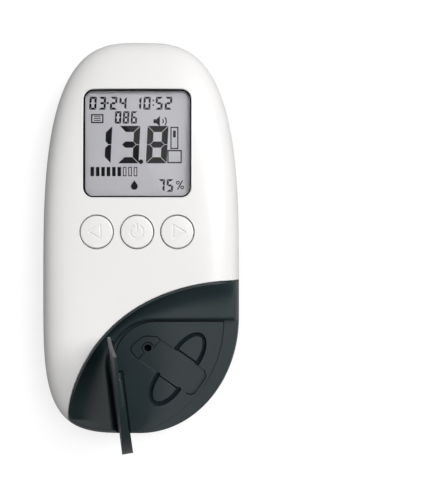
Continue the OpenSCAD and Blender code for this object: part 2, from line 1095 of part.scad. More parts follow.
// Conical coil of wire along Y, from its wide end on the contact
module coil(length) {
    turns = 3.5;
    steps = 12;
    wire = 0.35;
    rings = [
        for (k = [0 : turns * steps])
            let (
                t = 360 * k / steps,
                share = k / (turns * steps),
                r = 3.2 - 1.2 * share,
                y = wire + (length - 2 * wire) * share
            )
            [
                for (s = [0 : 5])
                    let (out = r + wire * cos(60 * s))
                    [out * cos(t), y + wire * sin(60 * s), out * sin(t)]
            ]
    ];
    loft(rings);
}

module battery_springs() {
    length = box_to - box_from - 2 * contact_t - cell_l;
    color("#B8BBBE")
        for (i = [0 : cell_count - 1])
            translate([cell_x(i), 0, cell_z])
                if (flipped(i))
                    translate([0, box_to - contact_t, 0])
                        mirror([0, 1, 0])
                            coil(length);
                else
                    translate([0, box_from + contact_t, 0])
                        coil(length);
}

module battery_contacts() {
    w = 8;
    color("#C4C6C8")
        for (i = [0 : cell_count - 1], y = [box_from, box_to - contact_t])
            translate([cell_x(i) - w / 2, y, cell_z - w / 2])
                cube([w, contact_t, w]);
}

module housing_screws() {
    color("#A9ACAF")
        at_each(all_screws(), rear_z + 1.2) {
            difference() {
                cylinder(r = screw_head_r, h = 2.1);
                translate([0, 0, -eps]) {
                    translate([-0.35, -1.6, 0])
                        cube([0.7, 3.2, 1]);
                    translate([-1.6, -0.35, 0])
                        cube([3.2, 0.7, 1]);
                }
            }
            cylinder(r = screw_r - 0.02, h = 14);
        }
}

module rubber_feet() {
    color("#2E3133")
        at_each(feet, 0)
            cylinder(r = foot_r - 0.02, h = 2 * rear_z - 0.02);
}

front_shell();
rear_shell();
bay_housing();
stage_plate();
cuvette_locator();
bay_lid();
lid_seal();
hinge_bracket();
hinge_pin();
display_lens();
lens_gasket();
lcd_glass();
lcd_frame();
zebra_strips();
main_board();
controller_chip();
board_screws();
button_back();
button_power();
button_next();
key_membrane();
key_domes();
buzzer();
board_cable();
optics_block();
optics_window();
optics_board();
emitter();
photodiode();
battery_door();
battery_cells();
battery_springs();
battery_contacts();
housing_screws();
rubber_feet();
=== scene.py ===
import json
import math

import bpy
from bpy.props import FloatProperty, FloatVectorProperty, PointerProperty
from mathutils import Matrix, Vector


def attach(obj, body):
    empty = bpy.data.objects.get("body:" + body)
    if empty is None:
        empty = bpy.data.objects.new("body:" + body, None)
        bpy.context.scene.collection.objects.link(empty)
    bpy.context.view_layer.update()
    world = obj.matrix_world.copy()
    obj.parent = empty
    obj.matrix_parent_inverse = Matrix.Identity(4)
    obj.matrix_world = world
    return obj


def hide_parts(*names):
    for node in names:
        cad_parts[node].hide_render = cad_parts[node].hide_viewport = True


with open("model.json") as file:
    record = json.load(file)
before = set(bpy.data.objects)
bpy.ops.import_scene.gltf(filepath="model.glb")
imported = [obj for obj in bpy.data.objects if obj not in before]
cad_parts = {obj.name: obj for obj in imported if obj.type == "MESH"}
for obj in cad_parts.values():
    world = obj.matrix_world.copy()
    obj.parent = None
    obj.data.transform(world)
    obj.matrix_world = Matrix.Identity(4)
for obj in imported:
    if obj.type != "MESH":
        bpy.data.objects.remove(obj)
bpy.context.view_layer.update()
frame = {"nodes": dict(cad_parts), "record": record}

bl_info = {
    "name": "Hemoglobin meter",
    "version": (1, 0, 0),
    "blender": (4, 5, 0),
    "location": "3D View > Sidebar > Meter",
    "description": "Dresses the packed model of a hand-held hemoglobin meter",
    "category": "Object",
}

# All sizes below are in millimetres and degrees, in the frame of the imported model
MM = 0.001

# Points round a skin and rows up it: fine where it is seen, coarse where it is hidden
SKIN = 360
FRONT_ROWS = 36
REAR_ROWS = 24
HOLLOW = 144

# Outline of the housing, a rounded oval whose quarters differ in squareness: a power of 2 is an
# ellipse, and a higher one is squarer. STRAIGHT is the upright stretch of the lower right flank.
HALF_W = 33.0
LEFT_W = 32.45
HALF_L = 66.25
WIDEST_Y = -15.0
TOP_LEN = HALF_L - WIDEST_Y
LOW_LEN = 49.8
STRAIGHT = 11.2
TOP_POWER = 3.1
LEFT_POWER = 4.0
LID_POWER = 2.65

# Section of the housing: how the front's edge and the two flanks round off
CROWN_POWER = 10.0
CROWN_TURN = 89.6
FLANK_POWER = 2.2
FLAT_SHARE = 0.84

# Levels
FRONT_Z = 26.0
SEAM_Z = 12.8
REAR_Z = 0.8
WALL = 2.0
PARTING = 0.22
FRONT_INNER = FRONT_Z - WALL
LENS_TOP = 24.3
LENS_T = 1.2
LCD_TOP = 22.6

# Display window and buttons
WINDOW_W = 34.6
WINDOW_L = 34.8
WINDOW_Y = 31.0
WINDOW_R = 3.2
LENS_EDGE = 1.6
BUTTON_R = 5.2
BUTTON_GAP = 0.33
BUTTON_PITCH = 12.9
BUTTON_Y = 2.5
BUTTON_TOP = FRONT_Z + 0.35
BUTTON_FOOT = 20.6
BUTTON_EDGE = 0.4
BUTTON_CROWN = 60.0
FLANGE_W = 0.65
FLANGE_Z = (22.6, 23.2)
SIGN_DEEP = 0.24
SIGN_HALF = 0.26
SLANT = 0.05

# Rounded lips round the openings of the front: how far they reach under the face and down the wall
LIP_REACH = 0.12
LIP_SUNK = 0.012
LIP_WALL = 0.6

# Measuring bay: the leaf is cut about LEAF, the arc of the stage about FAN, and the slot starts at EYE
LEAF = Vector((30.0, -65.0))
LEAF_R = 51.65
LEAF_SWELL = 1.6
LEAF_TURNS = (98, 145)
LEAF_SHOULDER = 0.6
LEAF_GAP = 0.15
FAN = Vector((-10.3, -26.8))
FAN_R = 38.15
FAN_ANGLE = 82.8
FAN_FILLET = 14.0
STAGE_Z = 20.0
SHELF_Z = 18.2
RIM_Z = 18.6
RECESS_TOP = 0.4
RECESS_SIDE = 1.6
SCOOP_LOW = 22.0
SCOOP_POWER = 3.6
SCOOP_ROUND = 1.3
EYE = Vector((2.8, -35.6))
EYE_R = 1.2
EYE_BORE = 3.55
FIT = 0.15

# Slot with the crescent at its end, and the finger recesses with a moat round a dished pad
SLOT_ANGLE = 35.3
SLOT_W = 9.8
SLOT_L = 21.3
SLOT_DEEP = 0.6
SLOT_END_DEEP = 1.4
GRIP_X = 12.0
GRIP_W = 4.9
GRIP_L = 9.3
PAD_DEEP = 0.4
PAD_DISH = 0.12
MOAT_DEEP = 1.7
MOAT_W = 1.4

# Horseshoe round the measuring hole, with its outer corners along and across the slot
LOCATOR_SINK = 1.0
LOCATOR_GAP = 0.3
LOCATOR_TOP = 20.15
LOCATOR_R = 2.0
LOCATOR_TURNS = (49, 263)
LOCATOR_OUTER = (
    (-0.6, -4.6), (-3, -4.4), (-4.2, -3.5), (-4.7, -2.7), (-4.1, -0.1),
    (-3.3, 2.3), (-0.8, 4.1), (0.8, 4.7), (1.8, 4.1),
)

# Hinge and lid
HINGE_IN = 1.4
HINGE_Z = 20.4
GROOVE_Z = 18.4
GROOVE_FROM = 16.6
GROOVE_W = 2.8
PIN_R = 0.5
BARREL_R = 1.1
BARREL_FROM = 19.4
BARREL_TO = 34.6
LUG_GAP = 0.3
LUG_ROOM = 0.3
LUG_TO = 37.0
LID_OPEN = 80.0
LID_TOP = 22.4
LID_T = 1.0
LID_BOW_R = 350.0
LID_CROWN = 12.0
LID_IN = 0.2
LID_GAP = 0.5
LID_FILLET = 19.0
SKIRT_Z = 19.0
SKIRT_HIGH = 20.35
SKIRT_SLOPE = (-62.0, -36.0)
SKIRT_T = 0.9

# Rear
DOOR_W = 34.6
DOOR_FROM = 1.0
DOOR_TOP = 9.0
DOOR_T = 1.6
DOOR_GAP = 0.3
BOX_HALF = 18.8
BOX_WALL = 1.2
BOX_FROM = 1.6
BOX_TO = 51.3
BOX_ROOF = 13.45
BOX_FLOOR = 1.5
SCREWS = ((-23.2, 35), (23.2, 35), (-24.5, -34), (19, -32))
POST_R = 3.4
COUNTERBORE_R = 2.9
COUNTERBORE_DEEP = 3.4
SCREW_R = 1.4
FEET = ((-17.5, -42), (17.5, -42), (-21.8, 27), (21.8, 27))
FOOT_SEAT_R = 3.2

# The hinge runs ALONG the fan's left edge, and the stage lies INWARD of it
ALONG = Vector((math.cos(math.radians(FAN_ANGLE)), -math.sin(math.radians(FAN_ANGLE))))
INWARD = Vector((math.sin(math.radians(FAN_ANGLE)), math.cos(math.radians(FAN_ANGLE))))


# Formulas of the outline and of the bay's edges. The part's source has the same ones, apart from the
# outline's lower end and the leaf's swell, which are fitted more closely here.

def heading(turn):
    """Unit vector at a turn in degrees, anticlockwise from the right."""
    return Vector((math.cos(math.radians(turn)), math.sin(math.radians(turn))))


def keep_sign(value, power):
    """Power of a value that keeps the value's sign."""
    return math.copysign(abs(value) ** power, value)


def outline_point(turn, inset=0.0, share=1.0, right=None):
    """One point of the outline at a turn, drawn in by inset and scaled about the widest place.
    The lower right quarter is an ellipse below a straight flank, unless a power is given for it."""
    across, up = math.cos(math.radians(turn)), math.sin(math.radians(turn))
    half = (HALF_W if across > 0 else LEFT_W) - inset
    length = (TOP_LEN if turn < 180 else LOW_LEN) - inset
    if turn > 270 and right is None:
        low = max(0.0, (-length * up - STRAIGHT) / (length - STRAIGHT))
        place = Vector((half * math.sqrt(max(0.0, 1 - low * low)), length * up))
    else:
        power = TOP_POWER if turn < 180 else LEFT_POWER if turn <= 270 else right
        place = Vector((half * keep_sign(across, 2 / power), length * keep_sign(up, 2 / power)))
    return share * place + Vector((0, WIDEST_Y))


def outline(columns, inset=0.0, share=1.0):
    """Points all round the outline, anticlockwise from the right."""
    return [outline_point(360 * i / columns, inset, share) for i in range(columns)]


def front_ring(step, inset, top):
    """Share of the outline and height, at a step from 0 at the seam to 1 at the flat of the face."""
    turn = math.radians(CROWN_TURN * step)
    rise = math.sin(turn) ** (2 / FLANK_POWER)
    return math.cos(turn) ** (2 / CROWN_POWER), SEAM_Z + (top - SEAM_Z) * rise


def rear_ring(step, bottom):
    """The same for the rear half, which ends in a flat of FLAT_SHARE of the outline."""
    turn = math.radians(90 * step)
    rise = math.sin(turn) ** (2 / FLANK_POWER)
    share = FLAT_SHARE + (1 - FLAT_SHARE) * max(0.0, math.cos(turn)) ** (2 / FLANK_POWER)
    return share, SEAM_Z - (SEAM_Z - bottom) * rise


def outline_share(x, y):
    """How far out a place lies, 0 in the middle and 1 on the outline."""
    y -= WIDEST_Y
    half = HALF_W if x > 0 else LEFT_W
    if y < 0 < x:
        curve = LOW_LEN - STRAIGHT
        square = (x / half) ** 2 + (y / curve) ** 2
        linear = 2 * y * STRAIGHT / curve ** 2
        rest = (STRAIGHT / curve) ** 2 - 1
        reach = (-linear + math.sqrt(linear ** 2 - 4 * square * rest)) / (2 * square)
        return 1 / reach if -y * reach > STRAIGHT else x / half
    power = TOP_POWER if y >= 0 else LEFT_POWER
    length = TOP_LEN if y >= 0 else LOW_LEN
    return (abs(x / half) ** power + abs(y / length) ** power) ** (1 / power)


def on_front(x, y):
    """Point of the front face above a place, and the way the face looks there."""
    def level(x, y):
        """0 in the middle of the face and 1 at the seam."""
        return outline_share(x, y) ** CROWN_POWER

    rise = max(0.0, 1 - level(x, y)) ** (1 / FLANK_POWER)
    step = 0.01
    slope = [
        (level(x + dx, y + dy) - level(x - dx, y - dy)) / (2 * step)
        for dx, dy in ((step, 0), (0, step))
    ]
    upright = FLANK_POWER * rise ** (FLANK_POWER - 1) / (FRONT_Z - SEAM_Z)
    return Vector((x, y, SEAM_Z + (FRONT_Z - SEAM_Z) * rise)), Vector((*slope, upright)).normalized()


def fan_corner(top_grow, side_grow, radius, steps=48):
    """Round corner of the fan, from its upper edge round to the hinge edge."""
    y = FAN.y + top_grow - radius
    centre = Vector((FAN.x + (radius - side_grow - (y - FAN.y) * INWARD.y) / INWARD.x, y))
    return [centre + radius * heading(90 + (180 - FAN_ANGLE) * i / steps) for i in range(steps + 1)]


def fan_outline(top_grow, side_grow, radius, far=60.0):
    """The fan's two straight edges and its round corner, left open far out at the lower right."""
    corner = fan_corner(top_grow, side_grow, radius)
    return corner + [corner[-1] + far * ALONG, Vector((far, -2 * far)), Vector((far, corner[0].y))]


def stage_outline(grow, steps=72):
    """The fan cut off round its rim."""
    corner = fan_corner(grow, grow, FAN_FILLET + grow)
    radius = FAN_R + grow
    first = -FAN_ANGLE - math.degrees(math.asin(grow / radius))
    last = math.degrees(math.asin(grow / radius))
    return corner + [FAN + radius * heading(first + (last - first) * i / steps) for i in range(steps + 1)]


def leaf_radius(turn):
    """Distance from the leaf's centre to its edge, which swells towards the left flank."""
    share = min(1.0, max(0.0, (turn - LEAF_TURNS[0]) / (LEAF_TURNS[1] - LEAF_TURNS[0])))
    return LEAF_R + LEAF_SWELL * share * share * (3 - 2 * share)


def leaf_outline(grow, columns=360):
    """Closed edge of the leaf, grown outwards."""
    turns = [-90 + 360 * i / columns for i in range(columns)]
    return [LEAF + (leaf_radius(t) + grow) * heading(t) for t in turns]


def scoop_inner(turn):
    """Distance from the leaf's centre to the edge of the recess."""
    radius = FAN_FILLET + 1
    corner = fan_corner(RECESS_TOP, RECESS_SIDE, radius)
    way = heading(turn)
    turns = [math.degrees(math.atan2((p - LEAF).y, (p - LEAF).x)) for p in (corner[0], corner[-1])]
    if turn < turns[0]:
        return (FAN.y + RECESS_TOP - LEAF.y) / way.y
    if turn > turns[1]:
        return (-RECESS_SIDE - (LEAF - FAN).dot(INWARD)) / way.dot(INWARD)
    centre = corner[0] - Vector((0, radius)) - LEAF
    middle = way.dot(centre)
    return middle + math.sqrt(middle * middle - centre.length_squared + radius * radius)


def scoop_height(share, high):
    """Level of the scoop, at a share from 0 at the riser to 1 at the brink."""
    return SCOOP_LOW + (high - SCOOP_LOW) * share ** SCOOP_POWER


def on_hinge(out, across, height):
    """Place given out along the hinge, in across it, and up."""
    place = FAN + out * ALONG + across * INWARD
    return Vector((place.x, place.y, height))


def on_slot(along, across, height):
    """Place given along the slot from the measuring hole, across it, and up."""
    turn = math.radians(-SLOT_ANGLE)
    return Vector((
        EYE.x + along * math.cos(turn) - across * math.sin(turn),
        EYE.y + along * math.sin(turn) + across * math.cos(turn),
        height,
    ))


# Modelling steps that several pieces share

def alone(piece):
    """Makes the piece the only selected one, in object mode."""
    if bpy.context.object and bpy.context.object.mode != "OBJECT":
        bpy.ops.object.mode_set(mode="OBJECT")
    bpy.ops.object.select_all(action="DESELECT")
    if piece:
        piece.select_set(True)
        bpy.context.view_layer.objects.active = piece


def named(name):
    """Names the piece that was just made, and its mesh."""
    piece = bpy.context.object
    piece.name = name
    piece.data.name = name
    return piece


def settle(piece):
    """Puts the piece's place and size into its mesh."""
    alone(piece)
    bpy.ops.object.transform_apply(location=True, rotation=True, scale=True)
    return piece


def close_up(piece, caps=True):
    """Joins coincident points, closes open ends and turns every face outwards."""
    alone(piece)
    bpy.ops.object.mode_set(mode="EDIT")
    bpy.ops.mesh.select_mode(type="VERT")
    bpy.ops.mesh.select_all(action="SELECT")
    bpy.ops.mesh.remove_doubles(threshold=1e-7)
    if caps:
        bpy.ops.mesh.select_all(action="DESELECT")
        bpy.ops.mesh.select_non_manifold(
            extend=False, use_wire=False, use_multi_face=False, use_non_contiguous=False, use_verts=False)
        bpy.ops.mesh.fill_holes(sides=0)
    bpy.ops.mesh.select_all(action="SELECT")
    bpy.ops.mesh.normals_make_consistent(inside=False)
    bpy.ops.object.mode_set(mode="OBJECT")
    return piece


def loft(name, rings, caps=True):
    """Bends a grid into a skin through rings of points given in millimetres, and closes it."""
    columns, rows = len(rings[0]), len(rings) - 1
    alone(None)
    bpy.ops.mesh.primitive_grid_add(x_subdivisions=columns, y_subdivisions=rows, size=1)
    piece = named(name)
    places = []
    for ring in rings:
        for point in list(ring) + [ring[0]]:
            places.extend(MM * c for c in point)
    piece.data.vertices.foreach_set("co", places)
    piece.data.update()
    return close_up(piece, caps)


def prism(name, points, low, high):
    """Upright solid between two levels."""
    return loft(name, [[(p.x, p.y, z) for p in points] for z in (low, high)])


def lathe(name, centre, profile, columns=96):
    """Turned form about an upright axis, through pairs of radius and height from the bottom up."""
    turns = [2 * math.pi * i / columns for i in range(columns)]
    rings = [
        [(centre[0] + radius * math.cos(t), centre[1] + radius * math.sin(t), height) for t in turns]
        for radius, height in profile
    ]
    return loft(name, rings)


def resample(points, step):
    """Adds points to a closed outline, so that none are further apart than the step."""
    finer = []
    for here, ahead in zip(points, points[1:] + points[:1]):
        count = max(1, math.ceil((ahead - here).length / step))
        finer.extend(here.lerp(ahead, i / count) for i in range(count))
    return finer


def opening_edge(points, into=1):
    """Edge where an upright wall meets the front face, with the way the wall looks."""
    edge = []
    for before, here, ahead in zip(points[-1:] + points[:-1], points, points[1:] + points[:1]):
        run = (ahead - before).normalized()
        point, out = on_front(here.x, here.y)
        edge.append((point, out, Vector((-run.y, run.x, 0)) * into))
    return edge


def lip(name, edge, radius, base, closed=True, steps=5):
    """Rounded rim along an edge of the front face, with its wall down to a level."""
    rings = []
    for point, out, wall in edge:
        lean = out.dot(wall)
        centre = point - radius * (out + wall) / (1 + lean)
        back = (lean * out - wall).normalized()
        ring = [point + back * (radius + LIP_REACH) / math.sqrt(1 - lean * lean) - LIP_SUNK * out]
        ring.extend(centre + radius * out.slerp(wall, i / steps) for i in range(steps + 1))
        low = min(base, ring[-1].z - 0.05)
        ring.append(Vector((point.x, point.y, low)))
        ring.append(Vector((point.x, point.y, low)) - LIP_WALL * wall)
        rings.append(ring)
    if closed:
        rings.append(rings[0])
    return loft(name, rings, caps=not closed)


def grown(points, amount):
    """Closed outline moved outwards, for one that runs anticlockwise."""
    moved = []
    for before, here, ahead in zip(points[-1:] + points[:-1], points, points[1:] + points[:1]):
        first, second = (here - before).normalized(), (ahead - here).normalized()
        way = Vector((first.y + second.y, -first.x - second.x))
        moved.append(here + amount * way * 2 / way.length_squared)
    return moved


def disc(name, centre, radius, low, high, vertices=96):
    """Round bar between two levels, mostly to cut with."""
    alone(None)
    bpy.ops.mesh.primitive_cylinder_add(
        vertices=vertices, radius=radius * MM, depth=(high - low) * MM,
        location=(centre[0] * MM, centre[1] * MM, (low + high) / 2 * MM))
    return settle(named(name))


def block(name, low, high, matrix=None):
    """Box between two corners, then moved by a matrix, as into the slot's or the hinge's frame."""
    alone(None)
    bpy.ops.mesh.primitive_cube_add(size=MM)
    piece = named(name)
    size = Vector(high) - Vector(low)
    middle = (Vector(high) + Vector(low)) / 2
    local = Matrix.Translation(middle * MM) @ Matrix.Diagonal((*size, 1))
    piece.matrix_world = (matrix or Matrix()) @ local
    return settle(piece)


def hinge_block(name, low, high):
    """Box whose corners are given out along the fan's edge, in across it, and up."""
    turn = Matrix.Rotation(math.radians(-FAN_ANGLE), 4, "Z")
    return block(name, low, high, Matrix.Translation((FAN.x * MM, FAN.y * MM, 0)) @ turn)


def rounded(width, length, radius, centre=(0.0, 0.0), steps=12):
    """Points of a rectangle with round corners."""
    points = []
    for corner, (x, y) in enumerate(((1, 1), (-1, 1), (-1, -1), (1, -1))):
        for i in range(steps + 1):
            turn = math.radians(90 * corner + 90 * i / steps)
            points.append(Vector((
                centre[0] + x * (width / 2 - radius) + radius * math.cos(turn),
                centre[1] + y * (length / 2 - radius) + radius * math.sin(turn),
            )))
    return points


def combine(piece, tool, operation="DIFFERENCE", solver="EXACT"):
    """Cuts with, keeps inside of, or adds a tool, and removes the tool."""
    alone(piece)
    modifier = piece.modifiers.new("Combine", "BOOLEAN")
    modifier.operation = operation
    modifier.object = tool
    modifier.solver = solver
    bpy.ops.object.modifier_apply(modifier=modifier.name)
    bpy.data.objects.remove(tool, do_unlink=True)
    return piece


def soften(piece, width, segments=2, angle=38, harden=False):
    """Rounds the edges that are sharper than the angle."""
    alone(piece)
    modifier = piece.modifiers.new("Soften", "BEVEL")
    modifier.width = width * MM
    modifier.segments = segments
    modifier.limit_method = "ANGLE"
    modifier.angle_limit = math.radians(angle)
    modifier.use_clamp_overlap = False
    modifier.harden_normals = harden
    modifier.miter_outer = "MITER_ARC"
    bpy.ops.object.modifier_apply(modifier=modifier.name)
    return piece


def smooth(piece, angle=32):
    """Shades the piece smooth, apart from edges that are sharper than the angle."""
    alone(piece)
    bpy.ops.object.shade_smooth_by_angle(angle=math.radians(angle))
    return piece


def together(name, pieces):
    """Joins several meshes into one piece."""
    alone(pieces[0])
    for piece in pieces[1:]:
        piece.select_set(True)
    bpy.ops.object.join()
    return named(name)


def finish_piece(piece, body, finish, slot, *nodes):
    """Gives a piece its finish, hangs it on the body it rides on, and hides the imported nodes it stands
    for.
    """
    piece.data.materials.clear()
    piece.data.materials.append(finish)
    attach(piece, body)
    if nodes:
        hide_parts(*nodes)
    return piece


# Finishes

def hex_colour(code):
    """sRGB hex code to the linear colour that a shader takes."""
    parts = [int(code[i:i + 2], 16) / 255 for i in (0, 2, 4)]
    return [p / 12.92 if p <= 0.04045 else ((p + 0.055) / 1.055) ** 2.4 for p in parts] + [1.0]


def add_node(tree, kind, settings=(), links=()):
    """Adds a node; settings name its inputs or its own properties, and links name its inputs."""
    node = tree.nodes.new(kind)
    for key, value in dict(settings).items():
        if key in node.inputs:
            node.inputs[key].default_value = value
        else:
            setattr(node, key, value)
    for key, output in dict(links).items():
        tree.links.new(output, node.inputs[key])
    return node


def new_finish(name):
    """A material with its shader, and the object coordinates in millimetres."""
    finish = bpy.data.materials.new(name)
    finish.use_nodes = True
    tree = finish.node_tree
    shader = tree.nodes["Principled BSDF"]
    place = add_node(tree, "ShaderNodeTexCoord")
    scaled = add_node(tree, "ShaderNodeMapping", {"Scale": (1 / MM,) * 3},
                      {"Vector": place.outputs["Object"]})
    return finish, tree, shader, scaled.outputs["Vector"]


def moulded(name, code, roughness, grain, depth, tone=0.03, specular=0.5, coat=0.0):
    """Moulded plastic: a grain in millimetres with its depth, and slow changes of tone and gloss."""
    finish, tree, shader, place = new_finish(name)
    # The changes of tone are clouds of about 11 mm
    cloud = add_node(tree, "ShaderNodeTexNoise", {"Scale": 0.09, "Detail": 3.0}, {"Vector": place})
    colour = hex_colour(code)
    dark = [c * (1 - tone) for c in colour[:3]] + [1.0]
    light = [min(1.0, c * (1 + tone)) for c in colour[:3]] + [1.0]
    # A Mix node's sockets share their names, so the ones for colour go by number
    mix = add_node(tree, "ShaderNodeMix", {"data_type": "RGBA"}, {0: cloud.outputs["Fac"]})
    mix.inputs[6].default_value = dark
    mix.inputs[7].default_value = light
    tree.links.new(mix.outputs[2], shader.inputs["Base Color"])
    gloss = add_node(tree, "ShaderNodeMapRange", {"To Min": roughness * 0.93, "To Max": roughness * 1.07},
                     {"Value": cloud.outputs["Fac"]})
    tree.links.new(gloss.outputs["Result"], shader.inputs["Roughness"])
    pits = add_node(tree, "ShaderNodeTexNoise", {"Scale": 1 / grain, "Detail": 2.0}, {"Vector": place})
    # The tool's edges are broken by a radius, which catches a thin line of light
    edge = add_node(tree, "ShaderNodeBevel", {"samples": 4, "Radius": 0.2 * MM})
    bump = add_node(tree, "ShaderNodeBump", {"Strength": 1.0, "Distance": depth * MM},
                    {"Height": pits.outputs["Fac"], "Normal": edge.outputs["Normal"]})
    tree.links.new(bump.outputs["Normal"], shader.inputs["Normal"])
    shader.inputs["Specular IOR Level"].default_value = specular
    shader.inputs["IOR"].default_value = 1.53
    shader.inputs["Coat Weight"].default_value = coat
    return finish


def metal(name, code, roughness, scratch):
    """Plated or drawn metal, with fine lines that blur its gloss, five times as long as wide."""
    finish, tree, shader, place = new_finish(name)
    fine = 1 / scratch
    lines = add_node(tree, "ShaderNodeMapping", {"Scale": (fine, fine, 0.2 / scratch)}, {"Vector": place})
    noise = add_node(tree, "ShaderNodeTexNoise", {"Scale": 1.0, "Detail": 2.0},
                     {"Vector": lines.outputs["Vector"]})
    gloss = add_node(tree, "ShaderNodeMapRange", {"To Min": roughness * 0.8, "To Max": roughness * 1.3},
                     {"Value": noise.outputs["Fac"]})
    tree.links.new(gloss.outputs["Result"], shader.inputs["Roughness"])
    shader.inputs["Base Color"].default_value = hex_colour(code)
    shader.inputs["Metallic"].default_value = 1.0
    return finish


def clear(name, code, roughness, ior):
    """Clear moulded or cast plastic that lets light through, its polish a little uneven over 5 mm."""
    finish, tree, shader, place = new_finish(name)
    noise = add_node(tree, "ShaderNodeTexNoise", {"Scale": 0.2, "Detail": 1.0}, {"Vector": place})
    gloss = add_node(tree, "ShaderNodeMapRange", {"To Min": roughness, "To Max": roughness + 0.02},
                     {"Value": noise.outputs["Fac"]})
    tree.links.new(gloss.outputs["Result"], shader.inputs["Roughness"])
    shader.inputs["Base Color"].default_value = hex_colour(code)
    shader.inputs["Transmission Weight"].default_value = 1.0
    shader.inputs["IOR"].default_value = ior
    return finish


FINISHES = {}


def make_finishes(look):
    """Every finish, by the name of its slot in the record. A moulded one is given its colour, roughness,
    grain and its depth, and where they matter its change of tone, specular level and coat."""
    def code(colour):
        return "".join("%02X" % round(255 * c) for c in colour)

    white, dark = code(look.white), code(look.dark)
    FINISHES.update(
        # Glossy ABS: nearly smooth, with the faint orange peel of a polished mould
        white_abs=moulded("glossy_white_abs_moulded", white, 0.3, 1.4, 0.012, 0.01),
        # Satin ABS: a fine eroded grain that spreads its highlights
        dark_abs=moulded("satin_dark_abs_moulded", dark, 0.37, 0.22, 0.008, 0.06, 0.36),
        # Foam: open cut cells that swallow the light
        black_foam=moulded("black_foam_cut", "101214", 0.95, 0.5, 0.15, 0.2, 0.2),
        # ABS from an unpolished mould: chalky, with an even fine grain
        white_frame=moulded("matte_white_abs_moulded", "F2F2EF", 0.55, 0.4, 0.01),
        # Silicone in thin layers: soft and dull, with a change of tone from layer to layer
        pink_rubber=moulded("pink_silicone_layered", "D86C8C", 0.6, 0.2, 0.01, 0.1),
        # Solder mask: a half-gloss lacquer that lies in low waves over the copper
        circuit_board=moulded("green_solder_mask_printed", "1B6A3B", 0.4, 0.8, 0.02, 0.2),
        # Moulded epoxy: a dull sooty black
        black_plastic=moulded("matte_black_epoxy_moulded", "060707", 0.7, 0.3, 0.01, 0.03, 0.12),
        # Silicone sheet: dull, with a faint skin
        grey_silicone=moulded("grey_silicone_moulded", "B7BBBD", 0.6, 0.4, 0.01),
        # Laminated film: smooth, with a half gloss
        white_film=moulded("white_film_laminated", "D9DBDD", 0.35, 0.6, 0.01),
        # Shrunk film over steel: glossy, with slight slow waves
        cell_jacket=moulded("grey_film_shrunk_on_steel", "8D9399", 0.3, 1.2, 0.01),
        # Rubber: dull, with a pale bloom in patches
        black_rubber=moulded("black_rubber_moulded", "232628", 0.8, 0.4, 0.02, 0.08, 0.3),
        # Plated wire: bright, blurred along the draw
        steel=metal("nickel_plated_steel_drawn", "C9CBCC", 0.28, 0.3),
        # Gold on pressed sheet: warm and bright, blurred by fine lines
        gold_plate=metal("gold_plated_steel_pressed", "E2C279", 0.25, 0.3),
        # Acrylic: wholly clear and polished
        clear_lens=clear("clear_acrylic_moulded", "FFFFFF", 0.0, 1.49),
        # Cast epoxy: clear with a slight straw tint, its skin a little blurred
        clear_epoxy=clear("clear_epoxy_cast", "EAF3DC", 0.1, 1.52),
        # Frosted filter: almost black, with no gloss
        dark_glass=moulded("dark_filter_glass_frosted", "030405", 0.85, 0.4, 0.0, 0.03, 0.04),
        # Grey polariser over a brushed reflector: cool, flat and a little glossy
        lcd_glass=moulded("grey_polariser_laminated", "E3E2E8", 0.32, 0.25, 0.002, 0.012),
        # Liquid crystal that lets no light back: an even flat black
        lcd_ink=moulded("black_liquid_crystal", "08080A", 0.5, 0.5, 0.0, 0.03, 0.1),
    )


# Settings that a user would change

class MeterLook(bpy.types.PropertyGroup):
    """Colours and edges of the housing"""
    white: FloatVectorProperty(
        name="White", description="Colour of the white housing, as sRGB", subtype="COLOR_GAMMA",
        size=3, min=0, max=1, default=(0.94, 0.937, 0.935))
    dark: FloatVectorProperty(
        name="Dark", description="Colour of the dark bay, as sRGB", subtype="COLOR_GAMMA",
        size=3, min=0, max=1, default=(0.120, 0.172, 0.184))
    edge: FloatProperty(
        name="Edge radius", description="Radius on the moulded edges", unit="LENGTH",
        default=0.00025, min=0.0001, max=0.0006)


class MeterLight(bpy.types.PropertyGroup):
    """Powers of the lamps"""
    key: FloatProperty(
        name="Key", description="Power of the large lamp at the right", default=4.15, min=0)
    top: FloatProperty(
        name="Top", description="Power of the wide lamp overhead", default=0.65, min=0)
    over: FloatProperty(
        name="Over", description="Power of the lamp above the right side", default=4.7, min=0)
    fill: FloatProperty(
        name="Fill", description="Strength of the even light all round", default=0.12, min=0)
    card: FloatProperty(
        name="Card", description="Power of the small lamp over the left corner", default=0.75, min=0)
    under: FloatProperty(
        name="Under", description="Power of the lamp that lights the underside", default=2.4, min=0)
    streak: FloatProperty(
        name="Streak", description="Power of the card that the lens mirrors", default=0.1, min=0)


def front_solid(name, inset, top, columns, rows, base=SEAM_Z):
    """Form of the front half; the outer skin is drawn in at its foot, where the parting line runs."""
    rings = [[(p.x, p.y, SEAM_Z) for p in outline(columns, PARTING)]] if inset == 0 else []
    for row in range(rows + 1):
        share, height = front_ring(row / rows, inset, top)
        if height > SEAM_Z + PARTING or inset:
            rings.append([(p.x, p.y, height) for p in outline(columns, inset, share)])
        elif row == 0:
            rings.append([(p.x, p.y, SEAM_Z + PARTING) for p in outline(columns)])
    if base < SEAM_Z:
        rings.insert(0, [(p.x, p.y, base) for p in outline(columns, inset)])
    return loft(name, rings)


